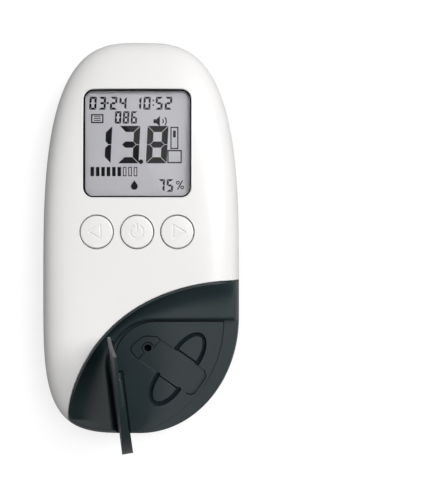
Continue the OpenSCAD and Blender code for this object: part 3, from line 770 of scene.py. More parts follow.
def rear_solid(name, inset, bottom, columns, rows, top=SEAM_Z):
    """Form of the rear half, up to the seam or above it, with the other side of the parting line."""
    rings = []
    for row in range(rows, -1, -1):
        share, height = rear_ring(row / rows, bottom)
        if height < SEAM_Z - PARTING or inset:
            rings.append([(p.x, p.y, height) for p in outline(columns, inset, share)])
    if inset == 0:
        rings.append([(p.x, p.y, SEAM_Z - PARTING) for p in outline(columns)])
        rings.append([(p.x, p.y, SEAM_Z) for p in outline(columns, PARTING)])
    if top > SEAM_Z:
        rings.append([(p.x, p.y, top) for p in outline(columns, inset)])
    return loft(name, rings)


class METER_OT_front_shell(bpy.types.Operator):
    """White front half of the housing, with its window, button holes and leaf-shaped cut"""
    bl_idname = "meter.front_shell"
    bl_label = "Front shell"

    def execute(self, context):
        radius = context.scene.meter_look.edge / MM
        shell = front_solid("front_shell_skin", 0, FRONT_Z, SKIN, FRONT_ROWS)
        combine(shell, front_solid("hollow", WALL, FRONT_INNER, HOLLOW, 14, SEAM_Z - 1))
        combine(shell, prism("leaf", leaf_outline(LEAF_GAP + radius), 0, 60))
        window = rounded(WINDOW_W, WINDOW_L, WINDOW_R, (0, WINDOW_Y))
        combine(shell, prism("window", grown(window, radius), 20, 30))
        lips = [lip("window_lip", opening_edge(resample(window, 0.8)), radius, LENS_TOP - 0.3)]
        for i in (-1, 0, 1):
            centre = (i * BUTTON_PITCH, BUTTON_Y)
            hole_r = BUTTON_R + BUTTON_GAP
            combine(shell, disc("hole", centre, hole_r + radius / 2, 20, 30))
            hole = [p + Vector(centre) for p in self.circle(hole_r)]
            lips.append(lip("hole_lip", opening_edge(hole), radius / 2, FRONT_INNER - 0.1))
        lips.append(lip("leaf_lip", self.leaf_edge(), radius, SEAM_Z, closed=False))
        smooth(shell)
        for piece in lips:
            smooth(piece, 40)
        shell = together("front_shell_skin", [shell] + lips)
        finish_piece(shell, "housing", FINISHES["white_abs"], "white_abs", "front_shell")
        return {"FINISHED"}

    def circle(self, radius, columns=96):
        """Points of a circle round the origin."""
        turns = (2 * math.pi * i / columns for i in range(columns))
        return [radius * Vector((math.cos(t), math.sin(t))) for t in turns]

    def leaf_edge(self, steps=180):
        """Edge of the white shell along the leaf, from the right flank round to the left."""
        def place(turn):
            reach = leaf_radius(math.degrees(turn)) + LEAF_GAP
            return LEAF + reach * Vector((math.cos(turn), math.sin(turn)))

        # Both ends, where the leaf leaves the outline, are found by halving
        ends = []
        for inside, outside in ((2.2, 1.2), (2.2, 3.4)):
            for _ in range(40):
                middle = (inside + outside) / 2
                if outline_share(*place(middle)) < 1:
                    inside = middle
                else:
                    outside = middle
            ends.append(inside)
        edge = []
        for i in range(steps + 1):
            # Closer together towards both flanks, where the face turns down
            share = (1 - math.cos(math.pi * i / steps)) / 2
            turn = ends[0] + (ends[1] - ends[0]) * share
            point, out = on_front(*place(turn))
            edge.append((point, out, Vector((-math.cos(turn), -math.sin(turn), 0))))
        return edge


class METER_OT_rear_shell(bpy.types.Operator):
    """White rear half of the housing, with its battery box, screw holes and seats for the feet"""
    bl_idname = "meter.rear_shell"
    bl_label = "Rear shell"

    def execute(self, context):
        shell = rear_solid("rear_shell_skin", 0, REAR_Z, SKIN, REAR_ROWS)
        combine(shell, rear_solid("hollow", WALL, REAR_Z + WALL, HOLLOW, 12, SEAM_Z + 1))
        combine(shell, self.inside(), "UNION")
        half = DOOR_W / 2 + DOOR_GAP
        combine(shell, block("opening", (-half, DOOR_FROM - DOOR_GAP, -1), (half, 80, 3.8)))
        combine(shell, block("end", (-half, BOX_TO + BOX_WALL, -1), (half, 80, DOOR_TOP + DOOR_GAP)))
        combine(shell, block("space", (-BOX_HALF, BOX_FROM, REAR_Z + WALL), (BOX_HALF, BOX_TO, BOX_ROOF)))
        for screw in SCREWS:
            combine(shell, disc("counterbore", screw, COUNTERBORE_R, 0, REAR_Z + COUNTERBORE_DEEP, 48))
            combine(shell, disc("screw_hole", screw, SCREW_R, 0, 30, 32))
        for foot in FEET:
            combine(shell, disc("foot_seat", foot, FOOT_SEAT_R, 0, 2 * REAR_Z, 64))
        smooth(shell)
        finish_piece(shell, "housing", FINISHES["white_abs"], "white_abs", "rear_shell")
        return {"FINISHED"}

    def inside(self):
        """Walls of the battery box and posts of the screws, cut off within the shell's wall."""
        side, end = BOX_HALF + BOX_WALL, BOX_TO + BOX_WALL
        inside = block("box", (-side, BOX_FROM - BOX_WALL, BOX_FLOOR), (side, end, BOX_ROOF + BOX_WALL))
        end_top = DOOR_TOP + DOOR_GAP + BOX_WALL
        combine(inside, block("end_box", (-side, BOX_TO, BOX_FLOOR), (side, 70, end_top)), "UNION")
        for screw in SCREWS:
            combine(inside, disc("post", screw, POST_R, BOX_FLOOR, SEAM_Z - 0.02, 48), "UNION")
        skin = rear_solid("inner_skin", WALL / 2, REAR_Z + WALL / 2, HOLLOW, 12, SEAM_Z + WALL)
        return combine(inside, skin, "INTERSECT")


class METER_OT_battery_door(bpy.types.Operator):
    """Sliding battery door with its grip grooves and hooks"""
    bl_idname = "meter.battery_door"
    bl_label = "Battery door"

    def execute(self, context):
        half = DOOR_W / 2
        door = rear_solid("battery_door_skin", 0, REAR_Z, SKIN, REAR_ROWS)
        combine(door, rear_solid("hollow", DOOR_T, REAR_Z + DOOR_T, HOLLOW, 12, SEAM_Z + 1))
        combine(door, block("door_span", (-half, DOOR_FROM, 0), (half, 80, DOOR_TOP)), "INTERSECT")
        # Five grip grooves, each shorter than the one before it
        for i in range(5):
            reach = 6 - 1.2 * i
            combine(door, block("grip", (-reach, 8 + 1.6 * i, -1), (reach, 8.7 + 1.6 * i, REAR_Z + 0.5)))
        soften(door, 0.18)
        # Three hooks on each side and two at the end, which hold the door in its opening
        parts = [door]
        low, high = REAR_Z + DOOR_T - 0.02, REAR_Z + WALL + 0.3
        for side in (-1, 1):
            stem, head = side * (half - 0.6), side * (half + 0.5)
            for y in (6, 20, 34):
                parts.append(self.hook(stem, 0.6, head, 1.1, y, y + 5, low, high))
            middle = side * 5.45
            parts.append(self.hook(middle, 1.05, middle, 1.05, -0.2, 3.9, low, high, DOOR_FROM + 0.9))
        for piece in parts:
            smooth(piece)
        door = together("battery_door_skin", parts)
        finish_piece(door, "door", FINISHES["white_abs"], "white_abs", "battery_door")
        return {"FINISHED"}

    def hook(self, stem_x, stem_half, x, half, y_from, y_to, low, high, stem_from=None):
        """Stem with a wider or longer head on it."""
        stem_y = y_from if stem_from is None else stem_from
        hook = block("hook", (stem_x - stem_half, stem_y, low), (stem_x + stem_half, y_to, high + 0.01))
        combine(hook, block("reach", (x - half, y_from, high), (x + half, y_to, high + 0.7)), "UNION")
        return soften(hook, 0.15)


class METER_OT_feet(bpy.types.Operator):
    """Four rubber feet, domed at the rim"""
    bl_idname = "meter.feet"
    bl_label = "Feet"

    def execute(self, context):
        profile = [(2.75, 0.0), (2.98, 0.05), (3.12, 0.16), (3.18, 0.34), (3.18, 1.58)]
        feet = together("rubber_feet_set", [smooth(lathe("foot", foot, profile, 64)) for foot in FEET])
        finish_piece(feet, "housing", FINISHES["black_rubber"], "black_rubber", "rubber_feet")
        return {"FINISHED"}


class METER_OT_buttons(bpy.types.Operator):
    """Three crowned buttons with their signs sunk in"""
    bl_idname = "meter.buttons"
    bl_label = "Buttons"

    def execute(self, context):
        for i, (name, body, signs) in enumerate((
            ("back", "back_button", self.arrow(-1)),
            ("power", "power_button", self.power()),
            ("next", "next_button", self.arrow(1)),
        )):
            centre = Vector(((i - 1) * BUTTON_PITCH, BUTTON_Y))
            button = lathe("button_%s_cap" % name, centre, self.profile())
            for points in signs:
                combine(button, prism("sign", [centre + p for p in points], BUTTON_TOP - SIGN_DEEP, 30))
            smooth(button)
            finish_piece(button, body, FINISHES["white_abs"], "white_abs", "button_" + name)
        return {"FINISHED"}

    def profile(self):
        """Radius and height of the button, from its bottom round to the crown."""
        low, high = FLANGE_Z
        flange, flat = BUTTON_R + FLANGE_W, BUTTON_R - BUTTON_EDGE
        rows = [(BUTTON_R, BUTTON_FOOT), (BUTTON_R, low), (flange, low), (flange, high), (BUTTON_R, high)]
        rim = BUTTON_TOP - BUTTON_CROWN + math.sqrt(BUTTON_CROWN ** 2 - flat ** 2)
        for i in range(7):
            turn = math.radians(15 * i)
            height = rim - BUTTON_EDGE + BUTTON_EDGE * math.sin(turn)
            rows.append((flat + BUTTON_EDGE * math.cos(turn), height))
        for i in range(1, 12):
            radius = flat * (1 - i / 12)
            rows.append((radius, BUTTON_TOP - BUTTON_CROWN + math.sqrt(BUTTON_CROWN ** 2 - radius ** 2)))
        return rows

    def arrow(self, side):
        """Outline triangle that points to one side, as three bars."""
        turns = [math.radians(t) for t in (0, 120, 240)]
        corners = [2.5 * Vector((side * math.cos(t), math.sin(t))) for t in turns]
        return [self.bar(a, b, SIGN_HALF) for a, b in zip(corners, corners[1:] + corners[:1])]

    def bar(self, start, end, half):
        """Stroke of a sign, half as wide as given, with square ends."""
        run = (end - start).normalized()
        side = Vector((-run.y, run.x)) * half
        run = run * half
        return [start - run - side, end + run - side, end + run + side, start - run + side]

    def power(self, radius=2.1, half=SIGN_HALF, steps=40):
        """Ring with a gap at the top, and the bar that stands in the gap."""
        ways = [heading(90 + 24 + (360 - 48) * i / steps) for i in range(steps + 1)]
        ring = [(radius - half) * w for w in ways] + [(radius + half) * w for w in reversed(ways)]
        return [ring, self.bar(Vector((0, 0.3)), Vector((0, 2.5)), half)]


class METER_OT_display(bpy.types.Operator):
    """Clear lens, the black trim that paints the window wall's shade, and the liquid-crystal display with
    its segments
    """
    bl_idname = "meter.display"
    bl_label = "Display"

    def execute(self, context):
        self.trim()
        self.lens()
        marks = [prism("mark", points, LCD_TOP + 0.01, LCD_TOP + 0.03) for points in self.marks()]
        finish_piece(together("lcd_segments", marks), "housing", FINISHES["lcd_ink"], "lcd_glass")
        return {"FINISHED"}

    def trim(self):
        """Thin black frame inside the window's edge, which follows the curve of the face; its black stands
        for the gasket's edge and paints the shade on the window's wall as a dark rim round the display.
        """
        outer = resample(rounded(WINDOW_W, WINDOW_L, WINDOW_R, (0, WINDOW_Y)), 0.8)
        inner = grown(outer, -0.45)
        rings = [[(p.x, p.y, LENS_TOP) for p in outer]]
        for points, drop in ((outer, 0.45), (inner, 0.6)):
            rings.append([(p.x, p.y, on_front(p.x, p.y)[0].z - drop) for p in points])
        rings.append([(p.x, p.y, LENS_TOP) for p in inner])
        # Painted shade: this black lining darkens the window's wall where it stands in shade
        trim = loft("window_painted_shade_trim", rings + rings[:1], caps=False)
        finish_piece(smooth(trim), "housing", FINISHES["black_plastic"], "black_plastic")

    def lens(self):
        """Clear window: a sheet held under the face, with a raised field that fills the opening."""
        edge, slip = 2 * LENS_EDGE, 0.3
        sheet = rounded(WINDOW_W + edge, WINDOW_L + edge, WINDOW_R + 1, (0, WINDOW_Y))
        lens = prism("lens_sheet", sheet, LENS_TOP - LENS_T, FRONT_INNER)
        field = rounded(WINDOW_W - slip, WINDOW_L - slip, WINDOW_R, (0, WINDOW_Y))
        combine(lens, prism("lens_raised", field, LENS_TOP - LENS_T + 0.1, LENS_TOP), "UNION")
        finish_piece(smooth(lens), "housing", FINISHES["clear_lens"], "clear_lens", "display_lens")

    def marks(self):
        """Every dark shape of the display, by its place on the glass. Each row of digits has its left and
        top edge, and then the width, height and stroke of a digit and the gap between two."""
        shapes = []
        for text, left, top, w, h, t, gap in (
            ("03", -15.9, 46.4, 2.4, 4.3, 0.8, 0.62), ("24", -9.2, 46.4, 2.4, 4.3, 0.8, 0.62),
            ("10", -1.4, 46.4, 2.4, 4.3, 0.8, 0.62), ("52", 5.55, 46.4, 2.4, 4.3, 0.8, 0.62),
            ("086", -7.6, 41.7, 2.1, 4.1, 0.74, 0.48),
            ("138", -15.75, 37.0, 6.9, 12.3, 2.15, 2.2),
            ("75", 6.4, 19.7, 2.2, 4.2, 0.78, 0.52),
        ):
            for i, digit in enumerate(text):
                shapes.extend(self.digit(digit, left + i * (w + gap), top, w, h, t))
        # The point, the dash and the colon between the digits
        shapes.append(self.spot(0.95, 25.3, 0.75))
        shapes.append(self.box(-10.2, 44.0, -9.5, 44.6))
        shapes += [self.box(4.7, low, 5.2, high) for low, high in ((44.9, 45.4), (43.4, 43.9))]
        shapes += self.sheet(-15.2, 37.8) + self.speaker(5.0, 38.4) + self.holder(9.5, 24.8)
        shapes += self.scale(-15.4, 20.6) + self.drop(-1.2, 17.6) + self.percent(12.2, 16.2)
        return shapes

    def box(self, x0, y0, x1, y1):
        """Filled rectangle between two corners."""
        return [Vector(p) for p in ((x0, y0), (x1, y0), (x1, y1), (x0, y1))]

    def spot(self, x, y, radius, turns=20):
        """Filled circle."""
        return [Vector((x + radius * math.cos(t), y + radius * math.sin(t)))
                for t in (2 * math.pi * i / turns for i in range(turns))]

    def border(self, x0, y0, x1, y1, t):
        """Outline of a rectangle, as four bars."""
        return [self.box(x0, y0, x1, y0 + t), self.box(x0, y1 - t, x1, y1),
                self.box(x0, y0 + t, x0 + t, y1 - t), self.box(x1 - t, y0 + t, x1, y1 - t)]

    def sheet(self, x, y):
        """Stored-result sign: a sheet with three lines."""
        lines = [self.box(x + 0.9, y + 0.75 + 0.6 * i, x + 3.1, y + 1.0 + 0.6 * i) for i in range(3)]
        return self.border(x, y, x + 4, y + 2.9, 0.4) + lines

    def scale(self, x, y):
        """Level bars, the last ones drawn as outlines."""
        shapes = []
        for i in range(9):
            place = (x + 1.75 * i, y, x + 1.75 * i + 1.15, y + 3)
            shapes += [self.box(*place)] if i < 6 else self.border(*place, 0.28)
        return shapes

    def drop(self, x, y):
        """Drop with a round foot and a point at the top."""
        points = [(0, 1.75)] + [(1.1 * math.cos(t), 1.1 * math.sin(t) - 0.3)
                                for t in (math.radians(150 + 240 * i / 20) for i in range(21))]
        return [[Vector((x + px, y + py)) for px, py in points]]

    def digit(self, digit, left, top, w, h, t):
        """Mitred seven-segment digit; a letter names each segment from the top clockwise, and g is the
        one in the middle."""
        lit = {"0": "abcdef", "1": "bc", "2": "abged", "3": "abgcd", "4": "fgbc", "5": "afgcd",
               "6": "afgedc", "7": "abc", "8": "abcdefg", "9": "abcdfg"}[digit]
        half, middle = t / 2, h / 2
        points = {
            "a": [(0, 0), (t, t), (w - t, t), (w, 0)],
            "d": [(t, h - t), (0, h), (w, h), (w - t, h - t)],
            "b": [(w, 0), (w - t, t), (w - t, middle - half), (w - half, middle), (w, middle)],
            "c": [(w, middle), (w - half, middle), (w - t, middle + half), (w - t, h - t), (w, h)],
            "e": [(0, middle), (0, h), (t, h - t), (t, middle + half), (half, middle)],
            "f": [(0, 0), (0, middle), (half, middle), (t, middle - half), (t, t)],
            "g": [(half, middle), (t, middle + half), (w - t, middle + half), (w - half, middle),
                  (w - t, middle - half), (t, middle - half)],
        }
        shapes = []
        for name in lit:
            segment = [Vector((left + x + SLANT * (h - y), top - y)) for x, y in points[name]]
            shapes.append(grown(segment, -0.03 - 0.025 * t))
        return shapes

    def arc(self, x, y, radius, width, first, last, steps=12):
        """Curved stroke from one turn to another, as a row of four-sided pieces."""
        ways = [heading(first + (last - first) * i / steps) for i in range(steps + 1)]
        place = Vector((x, y))
        quads = []
        for way, ahead in zip(ways, ways[1:]):
            low, high = radius - width / 2, radius + width / 2
            quads.append([place + low * way, place + high * way, place + high * ahead, place + low * ahead])
        return quads

    def speaker(self, x, y):
        """Loudspeaker with two waves."""
        cone = [(0, -0.65), (0.95, -0.65), (2.1, -1.75), (2.1, 1.75), (0.95, 0.65), (0, 0.65)]
        shapes = [[Vector((x + px, y + py)) for px, py in cone]]
        for radius in (1.0, 1.95):
            shapes += self.arc(x + 2.2, y, radius, 0.38, -42, 42)
        return shapes

    def holder(self, x, y):
        """Sign of a strip that stands in its holder."""
        strip = self.border(x + 1.0, y + 4.6, x + 3.6, y + 11.8, 0.38)
        field = self.box(x + 1.85, y + 8.4, x + 2.75, y + 10.6)
        return strip + [field] + self.border(x, y, x + 4.7, y + 4.3, 0.42)

    def percent(self, x, y):
        """Two rings on either side of a slanted bar."""
        rings = []
        for px, py in ((0.7, 2.3), (2.1, 0.75)):
            rings += self.arc(x + px, y + py, 0.45, 0.32, 0, 360, 16)
        slash = ((0.4, 0.05), (0.85, 0.05), (2.4, 3.0), (1.95, 3.0))
        return rings + [[Vector((x + px, y + py)) for px, py in slash]]


class METER_OT_bay(bpy.types.Operator):
    """Dark leaf-shaped bay with its scoop, rim and hinge groove"""
    bl_idname = "meter.bay"
    bl_label = "Measuring bay"

    def execute(self, context):
        bay = front_solid("bay_skin", 0, FRONT_Z, SKIN, FRONT_ROWS)
        combine(bay, prism("leaf", leaf_outline(0), 0, 60), "INTERSECT")
        combine(bay, self.scoop_tool())
        rim = fan_outline(RECESS_TOP, RECESS_SIDE, FAN_FILLET + 1)
        combine(bay, prism("rim", rim, RIM_Z, 60))
        combine(bay, prism("stage", stage_outline(0.0001), SHELF_Z, 50))
        groove = (GROOVE_FROM, -RECESS_SIDE + 0.1, GROOVE_Z)
        combine(bay, hinge_block("groove", groove, (60, GROOVE_W, 60)))
        combine(bay, disc("eye", EYE, EYE_BORE, 0, 30, 48))
        smooth(bay)
        finish_piece(bay, "housing", FINISHES["dark_abs"], "dark_abs", "bay_housing")
        return {"FINISHED"}

    def scoop_tool(self, steps=40):
        """What the scoop takes out, section by section round the leaf's centre, half a degree apart. A
        section runs from the brink down to the round top of the riser, and stands clear of the face."""
        rings = []
        for step in range(0, 225):
            turn = 78 + step / 2
            inner = scoop_inner(turn)
            way = heading(turn)
            edge = leaf_radius(turn)
            brink = edge - LEAF_SHOULDER
            section = [(inner - 1, FRONT_Z + 4), (edge + 2, FRONT_Z + 4)]
            # The scoop starts from the housing's own face, all along its brink
            high = max(SCOOP_LOW + 0.3, on_front(*(LEAF + brink * way))[0].z + 0.1)
            section.append((edge + 2, scoop_height((edge + 2 - inner) / (brink - inner), high)))
            for j in range(steps + 1):
                reach = brink + (inner + SCOOP_ROUND - brink) * j / steps
                section.append((reach, scoop_height((reach - inner) / (brink - inner), high)))
            low = section[-1][1] - SCOOP_ROUND
            for j in range(1, 9):
                lean = math.radians(90 - 90 * j / 8)
                reach = inner + SCOOP_ROUND * (1 - math.cos(lean))
                section.append((reach, low + SCOOP_ROUND * math.sin(lean)))
            section.append((inner - 1, low))
            rings.append([(LEAF.x + r * way.x, LEAF.y + r * way.y, z) for r, z in section])
        return loft("scoop", rings)


class METER_OT_stage_plate(bpy.types.Operator):
    """Flat stage with its slot, its finger recesses and the horseshoe round the measuring hole"""
    bl_idname = "meter.stage_plate"
    bl_label = "Stage plate"

    def execute(self, context):
        plate = prism("stage_sheet", stage_outline(-FIT), SHELF_Z, STAGE_Z)
        combine(plate, front_solid("inner_form", FIT, FRONT_Z, SKIN, FRONT_ROWS), "INTERSECT")
        combine(plate, hinge_block("groove", (GROOVE_FROM, -1, 0), (60, GROOVE_W + FIT, 60)))
        combine(plate, prism("slot", self.slot(), STAGE_Z - SLOT_DEEP, 40))
        combine(plate, prism("slot_end", self.slot_end(), STAGE_Z - SLOT_END_DEEP, 40))
        for side in (1, -1):
            combine(plate, self.recess_tool(side))
            combine(plate, self.edge_groove(side))
        locator = self.locator()
        combine(plate, prism("locator_seat", grown(locator, LOCATOR_GAP), STAGE_Z - LOCATOR_SINK, 40))
        combine(plate, disc("eye", EYE, EYE_R, 0, 40, 64))
        smooth(plate)
        finish_piece(plate, "housing", FINISHES["dark_abs"], "dark_abs", "stage_plate")
        insert = prism("locator_insert", locator, STAGE_Z - LOCATOR_SINK, LOCATOR_TOP)
        soften(smooth(insert), 0.12, harden=True)
        finish_piece(insert, "housing", FINISHES["dark_abs"], "dark_abs", "cuvette_locator")
        return {"FINISHED"}

    def slot(self, radius=2.3, steps=12):
        """Outline of the slot, with round corners at its far end."""
        points = [(0, -SLOT_W / 2)]
        for corner, side in ((-90, -1), (0, 1)):
            for i in range(steps + 1):
                turn = math.radians(corner + 90 * i / steps)
                points.append((SLOT_L - radius + radius * math.cos(turn),
                               side * (SLOT_W / 2 - radius) + radius * math.sin(turn)))
        points.append((0, SLOT_W / 2))
        return [on_slot(x, y, 0).xy for x, y in points]

    def edge_groove(self, side, width=0.75, deep=1.65):
        """V-shaped groove along the recess's straight side, next to the slot."""
        middle, rise, in_from_end = SLOT_W / 2 - 0.02 + width / 2, 0.5, 0.15
        spread = width * (0.5 + rise / deep / 2)
        section = [(middle, STAGE_Z - deep)] + [(middle + s * spread, STAGE_Z + rise) for s in (1, -1)]
        ends = (GRIP_X - GRIP_W + in_from_end, GRIP_X + GRIP_W - in_from_end)
        return loft("edge_groove", [[on_slot(x, side * y, z) for y, z in section] for x in ends])

    def slot_end(self, width=0.75):
        """Crescent along the slot's far end, widest in the middle."""
        points = self.slot()[1:-1]
        shift = (on_slot(width, 0, 0) - on_slot(0, 0, 0)).xy
        return points + [p - shift for p in reversed(points)]

    def locator(self, steps=32):
        """Horseshoe round the measuring hole, open towards the slot."""
        first, last = LOCATOR_TURNS
        points = [Vector(p) for p in LOCATOR_OUTER]
        # Cutting the corners twice rounds them, and the two ends stay where they are
        for _ in range(2):
            cut = [a.lerp(b, share) for a, b in zip(points, points[1:]) for share in (0.25, 0.75)]
            points = [points[0]] + cut[1:-1] + [points[-1]]
        points += [LOCATOR_R * heading(first + (last - first) * i / steps) for i in range(steps + 1)]
        points = [on_slot(p.x, p.y, 0).xy for p in points]
        area = sum(a.x * b.y - b.x * a.y for a, b in zip(points, points[1:] + points[:1]))
        return points if area > 0 else points[::-1]

    def relief(self, x, y):
        """Depth of the finger recess: a moat along its curved side, and a dished pad inside it."""
        def ease(value, start, end):
            share = min(1.0, max(0.0, (value - start) / (end - start)))
            return share * share * (3 - 2 * share)

        across, along = (x - GRIP_X) / GRIP_W, max(0.0, (y - SLOT_W / 2) / GRIP_L)
        reach = max(1e-3, math.hypot(across, along))
        steep = math.hypot(across / GRIP_W, along / GRIP_L) / reach
        # How far the place lies inside the recess's curved side
        inside = (1 - reach) / max(steep, 1e-3)
        pad = PAD_DEEP + PAD_DISH * (1 - reach)
        moat = (MOAT_DEEP - PAD_DEEP) * max(0.0, 1 - abs(2 * inside / MOAT_W - 1))
        return (pad + moat) * ease(inside, -0.1, 0.1)

    def recess_tool(self, side, columns=120, rows=34):
        """What a finger recess takes out: a D-shaped form whose underside is the recess's relief."""
        straight = SLOT_W / 2
        middle = Vector((GRIP_X, straight + 0.4 * GRIP_L))

        def held(place):
            reach = math.hypot((place.x - GRIP_X) / GRIP_W, max(0.0, (place.y - straight) / GRIP_L))
            return reach < 1 and place.y > straight - 0.3

        # The border is found by halving, all round from the middle
        border = []
        for i in range(columns):
            turn = 2 * math.pi * i / columns
            way = Vector((math.cos(turn), math.sin(turn)))
            low, high = 0.0, 20.0
            for _ in range(40):
                reach = (low + high) / 2
                if held(middle + reach * way):
                    low = reach
                else:
                    high = reach
            border.append(middle + low * way)
        rings = [[on_slot(p.x, side * p.y, STAGE_Z + 3) for p in border]]
        for row in range(rows):
            # Rows lie closer together towards the border, where the moat is
            share = 1 - (row / rows) ** 1.4
            places = [middle + (p - middle) * share for p in border]
            rings.append([on_slot(p.x, side * p.y, STAGE_Z + 0.001 - self.relief(p.x, p.y)) for p in places])
        return loft("recess", rings)


class METER_OT_lid(bpy.types.Operator):
    """Lid of the bay, bowed along its hinge, with a skirt that fades towards its free corner"""
    bl_idname = "meter.lid"
    bl_label = "Lid"

    def execute(self, context):
        lid = prism("lid_shell", self.edge(LID_IN), SKIRT_Z, 30)
        fan = fan_outline(-LID_GAP, -HINGE_IN + BARREL_R, LID_FILLET)
        combine(lid, prism("lid_fan", fan, 10, 40), "INTERSECT")
        combine(lid, self.roller(0), "INTERSECT")
        # The underside is hollowed out up to the skirt, which ends before the free upper edge
        hollow = prism("hollow", self.edge(SKIRT_T), 0, 40)
        combine(hollow, prism("hollow_fan", fan_outline(5, 5, FAN_FILLET + 5), -1, 41), "INTERSECT")
        combine(hollow, self.roller(LID_T), "INTERSECT")
        combine(lid, hollow)
        combine(lid, self.skirt_rise())
        edge = block("free_edge", (-40, -42, 0), (60, -20, 60))
        combine(lid, combine(edge, self.roller(LID_T * 0.9), "INTERSECT"))
        # Room for the two lugs, and the barrel between them with the hole for the pin
        combine(lid, hinge_block("lug_space", (-30, -5, 0), (BARREL_FROM - LUG_GAP, HINGE_IN, 60)))
        combine(lid, self.bar("lug_near", 15, BARREL_FROM - LUG_GAP, BARREL_R + LUG_ROOM))
        combine(lid, self.bar("lug_far", BARREL_TO + LUG_GAP, LUG_TO + 2, BARREL_R + LUG_ROOM))
        combine(lid, self.bar("barrel", BARREL_FROM, BARREL_TO, BARREL_R), "UNION")
        combine(lid, self.bar("pin_hole", 0, 60, PIN_R + 0.05))
        self.swing(lid)
        smooth(lid)
        finish_piece(lid, "lid", FINISHES["dark_abs"], "dark_abs", "bay_lid")
        return {"FINISHED"}

    def edge(self, inset):
        """Outer edge of the lid, which is squarer at the lower right than the housing."""
        return [outline_point(t / 2, inset, 1, LID_POWER) for t in range(720)]

    def roller(self, drop, steps=90):
        """Space below the lid's bowed top."""
        section = [(-15, -5), (75, -5)]
        for i in range(steps + 1):
            across = 75 - 90 * i / steps
            rise = math.sqrt((LID_BOW_R - drop) ** 2 - (across - LID_CROWN) ** 2)
            section.append((across, LID_TOP - LID_BOW_R + rise))
        return loft("roller", [[on_hinge(out, a, z) for a, z in section] for out in (-60, 80)])

    def skirt_rise(self):
        """What is taken off the skirt's foot, more and more towards the free corner."""
        section = [(-120, 0), (-120, SKIRT_Z - 1), (SKIRT_SLOPE[0], SKIRT_Z - 0.02),
                   (SKIRT_SLOPE[1], SKIRT_HIGH), (0, SKIRT_HIGH), (0, 0)]
        return loft("skirt_rise", [[(x, y, z) for y, z in section] for x in (-60, 60)])

    def bar(self, name, start, end, radius, columns=64):
        """Round bar about the hinge pin's line."""
        turns = [2 * math.pi * i / columns for i in range(columns)]
        return loft(name, [
            [on_hinge(out, HINGE_IN + radius * math.cos(t), HINGE_Z + radius * math.sin(t)) for t in turns]
            for out in (start, end)
        ])

    def swing(self, lid):
        """Turns the closed lid about its pin to where it stands open."""
        pin = on_hinge(0, HINGE_IN, HINGE_Z) * MM
        turn = Matrix.Rotation(math.radians(LID_OPEN), 4, Vector((ALONG.x, ALONG.y, 0)))
        lid.matrix_world = Matrix.Translation(pin) @ turn @ Matrix.Translation(-pin)
        settle(lid)


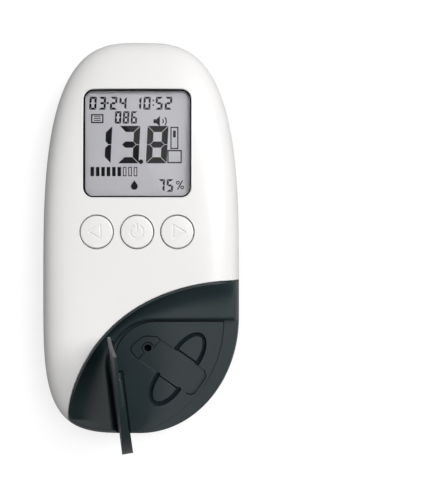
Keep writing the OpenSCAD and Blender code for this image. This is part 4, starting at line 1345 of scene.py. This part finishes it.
class METER_OT_stage(bpy.types.Operator):
    """Pale floor, soft lamps and the camera"""
    bl_idname = "meter.stage"
    bl_label = "Floor, lamps and camera"

    def execute(self, context):
        self.floor()
        self.lamps(context.scene.meter_light)
        self.camera(context.scene)
        return {"FINISHED"}

    def floor(self):
        """White sheet under the meter. The camera sees white paper with the meter's cast shadow on it and a
        painted contact shadow round its edges, light from it reaches the meter as from plain grey paper, and
        seen from below it isn't there."""
        alone(None)
        bpy.ops.mesh.primitive_plane_add(size=4, location=(0, 0, -0.05 * MM))
        floor = named("floor")
        finish = bpy.data.materials.new("white_paper_sweep")
        finish.use_nodes = True
        tree = finish.node_tree
        tree.nodes.clear()
        # To the camera the paper is lit from inside, and wholly white past the shadow's reach
        seen = add_node(tree, "ShaderNodeBsdfDiffuse", {"Color": (0.3, 0.3, 0.3, 1)})
        # Painted contact shadow: an ambient-occlusion node darkens the paper's emission near the meter, on
        # the side away from the cast shadow as well
        painted_shade_ao = add_node(tree, "ShaderNodeAmbientOcclusion", {"Distance": 0.014, "samples": 8})
        held = add_node(tree, "ShaderNodeMapRange", {"From Min": 0.3, "To Min": 0.6, "To Max": 0.8},
                        {"Value": painted_shade_ao.outputs["AO"]})
        glow_with_painted_shade = add_node(tree, "ShaderNodeEmission", {}, {"Strength": held.outputs["Result"]})
        near = add_node(tree, "ShaderNodeAddShader", {}, {0: seen.outputs[0], 1: glow_with_painted_shade.outputs[0]})
        white = add_node(tree, "ShaderNodeEmission", {"Strength": 1.0})
        place = add_node(tree, "ShaderNodeTexCoord")
        reach = add_node(tree, "ShaderNodeVectorMath", {"operation": "LENGTH"}, {0: place.outputs["Object"]})
        far = add_node(tree, "ShaderNodeMapRange",
                       {"From Min": 0.09, "From Max": 0.3, "interpolation_type": "SMOOTHSTEP"},
                       {"Value": reach.outputs["Value"]})
        paper = add_node(tree, "ShaderNodeMixShader", {},
                         {0: far.outputs["Result"], 1: near.outputs[0], 2: white.outputs[0]})
        real = add_node(tree, "ShaderNodeBsdfDiffuse", {"Color": (0.42, 0.42, 0.42, 1)})
        path = add_node(tree, "ShaderNodeLightPath")
        mix = add_node(tree, "ShaderNodeMixShader", {},
                       {0: path.outputs["Is Camera Ray"], 1: real.outputs[0], 2: paper.outputs[0]})
        # Seen from below it is open, and lets the light of the lamp below up to the underside
        side = add_node(tree, "ShaderNodeNewGeometry")
        open_ways = add_node(tree, "ShaderNodeMath", {"operation": "MAXIMUM"},
                             {0: side.outputs["Backfacing"], 1: path.outputs["Is Shadow Ray"]})
        below = add_node(tree, "ShaderNodeBsdfTransparent")
        sheet = add_node(tree, "ShaderNodeMixShader", {},
                         {0: open_ways.outputs[0], 1: mix.outputs[0], 2: below.outputs[0]})
        add_node(tree, "ShaderNodeOutputMaterial", {}, {"Surface": sheet.outputs[0]})
        floor.data.materials.append(finish)

    def lamps(self, light):
        """Even light all round, white to the camera, and area lamps that aim at the meter. Places and
        sizes are in metres."""
        world = bpy.data.worlds.new("soft_room")
        bpy.context.scene.world = world
        world.use_nodes = True
        tree = world.node_tree
        tree.nodes.clear()
        path = add_node(tree, "ShaderNodeLightPath")
        seen = add_node(tree, "ShaderNodeBackground", {"Color": (1, 1, 1, 1), "Strength": 1.0})
        room = add_node(tree, "ShaderNodeBackground", {"Color": (1, 1, 1, 1), "Strength": light.fill})
        mix = add_node(tree, "ShaderNodeMixShader", {},
                       {0: path.outputs["Is Camera Ray"], 1: room.outputs[0], 2: seen.outputs[0]})
        add_node(tree, "ShaderNodeOutputWorld", {}, {"Surface": mix.outputs[0]})
        self.lamp("key_lamp", (0.52, 0.30, 0.62), (0.5, 0.5), light.key)
        self.lamp("over_lamp", (0.36, 0.24, 1.0), (0.5, 0.5), light.over)
        self.lamp("top_lamp", (-0.05, -0.32, 1.0), (0.75, 0.7), light.top)
        self.lamp("left_card", (-0.22, -0.27, 0.95), (0.26, 0.3), light.card)
        self.lamp("under_lamp", (0.05, 0.1, -0.7), (0.6, 0.6), light.under)
        # The display mirrors this one, which faces straight down and is turned on its own axis
        self.lamp("streak_lamp", (-0.028, 0.214, 0.9), (0.2, 0.4), light.streak, 28, (0, 0, 1))

    def lamp(self, name, place, size, power, turn=0.0, facing=None):
        """Rectangular lamp that shines at the origin, unless it is told which way its back looks."""
        bpy.ops.object.light_add(type="AREA", location=place)
        lamp = bpy.context.object
        lamp.name = name
        lamp.data.shape = "RECTANGLE"
        lamp.data.size, lamp.data.size_y = size
        lamp.data.energy = power
        aim = Vector(facing or place).to_track_quat("Z", "Y")
        lamp.rotation_euler = (aim.to_matrix() @ Matrix.Rotation(math.radians(turn), 3, "Z")).to_euler()

    def camera(self, scene):
        """Camera straight above, to the right of the meter, as the photo's frame has it."""
        bpy.ops.object.camera_add(location=(0.0269, -0.0004, 0.240), rotation=(0, 0, 0))
        camera = bpy.context.object
        camera.data.lens = 50
        camera.data.sensor_width = 36
        camera.data.clip_start = 0.01
        scene.camera = camera
        scene.view_settings.view_transform = "Standard"


class METER_PT_panel(bpy.types.Panel):
    """Lists the meter's settings and its pieces"""
    bl_label = "Hemoglobin meter"
    bl_idname = "METER_PT_panel"
    bl_space_type = "VIEW_3D"
    bl_region_type = "UI"
    bl_category = "Meter"

    def draw(self, context):
        for group in (context.scene.meter_look, context.scene.meter_light):
            for name in group.bl_rna.properties.keys():
                if name not in ("rna_type", "name"):
                    self.layout.prop(group, name)
        for operator in OPERATORS:
            self.layout.operator(operator.bl_idname)


OPERATORS = (
    METER_OT_front_shell, METER_OT_rear_shell, METER_OT_battery_door, METER_OT_feet, METER_OT_buttons,
    METER_OT_display, METER_OT_bay, METER_OT_stage_plate, METER_OT_lid, METER_OT_stage,
)
CLASSES = (MeterLook, MeterLight) + OPERATORS + (METER_PT_panel,)


def register():
    """Adds the classes to Blender, and their settings to the scene."""
    for item in CLASSES:
        bpy.utils.register_class(item)
    bpy.types.Scene.meter_look = PointerProperty(type=MeterLook)
    bpy.types.Scene.meter_light = PointerProperty(type=MeterLight)


def unregister():
    """Takes away what register added."""
    del bpy.types.Scene.meter_light
    del bpy.types.Scene.meter_look
    for item in reversed(CLASSES):
        bpy.utils.unregister_class(item)


def dress_frame():
    """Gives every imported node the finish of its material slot."""
    slots = {s["node"]: s["material_slot"] for s in frame["record"]["subparts"]}
    for name, node in frame["nodes"].items():
        node.data.materials.clear()
        node.data.materials.append(FINISHES[slots[name]])


def main():
    """Dresses the frame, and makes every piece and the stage."""
    register()
    scene = bpy.context.scene
    make_finishes(scene.meter_look)
    dress_frame()
    for operator in OPERATORS:
        group, name = operator.bl_idname.split(".")
        getattr(getattr(bpy.ops, group), name)()


if __name__ == "__main__":
    main()
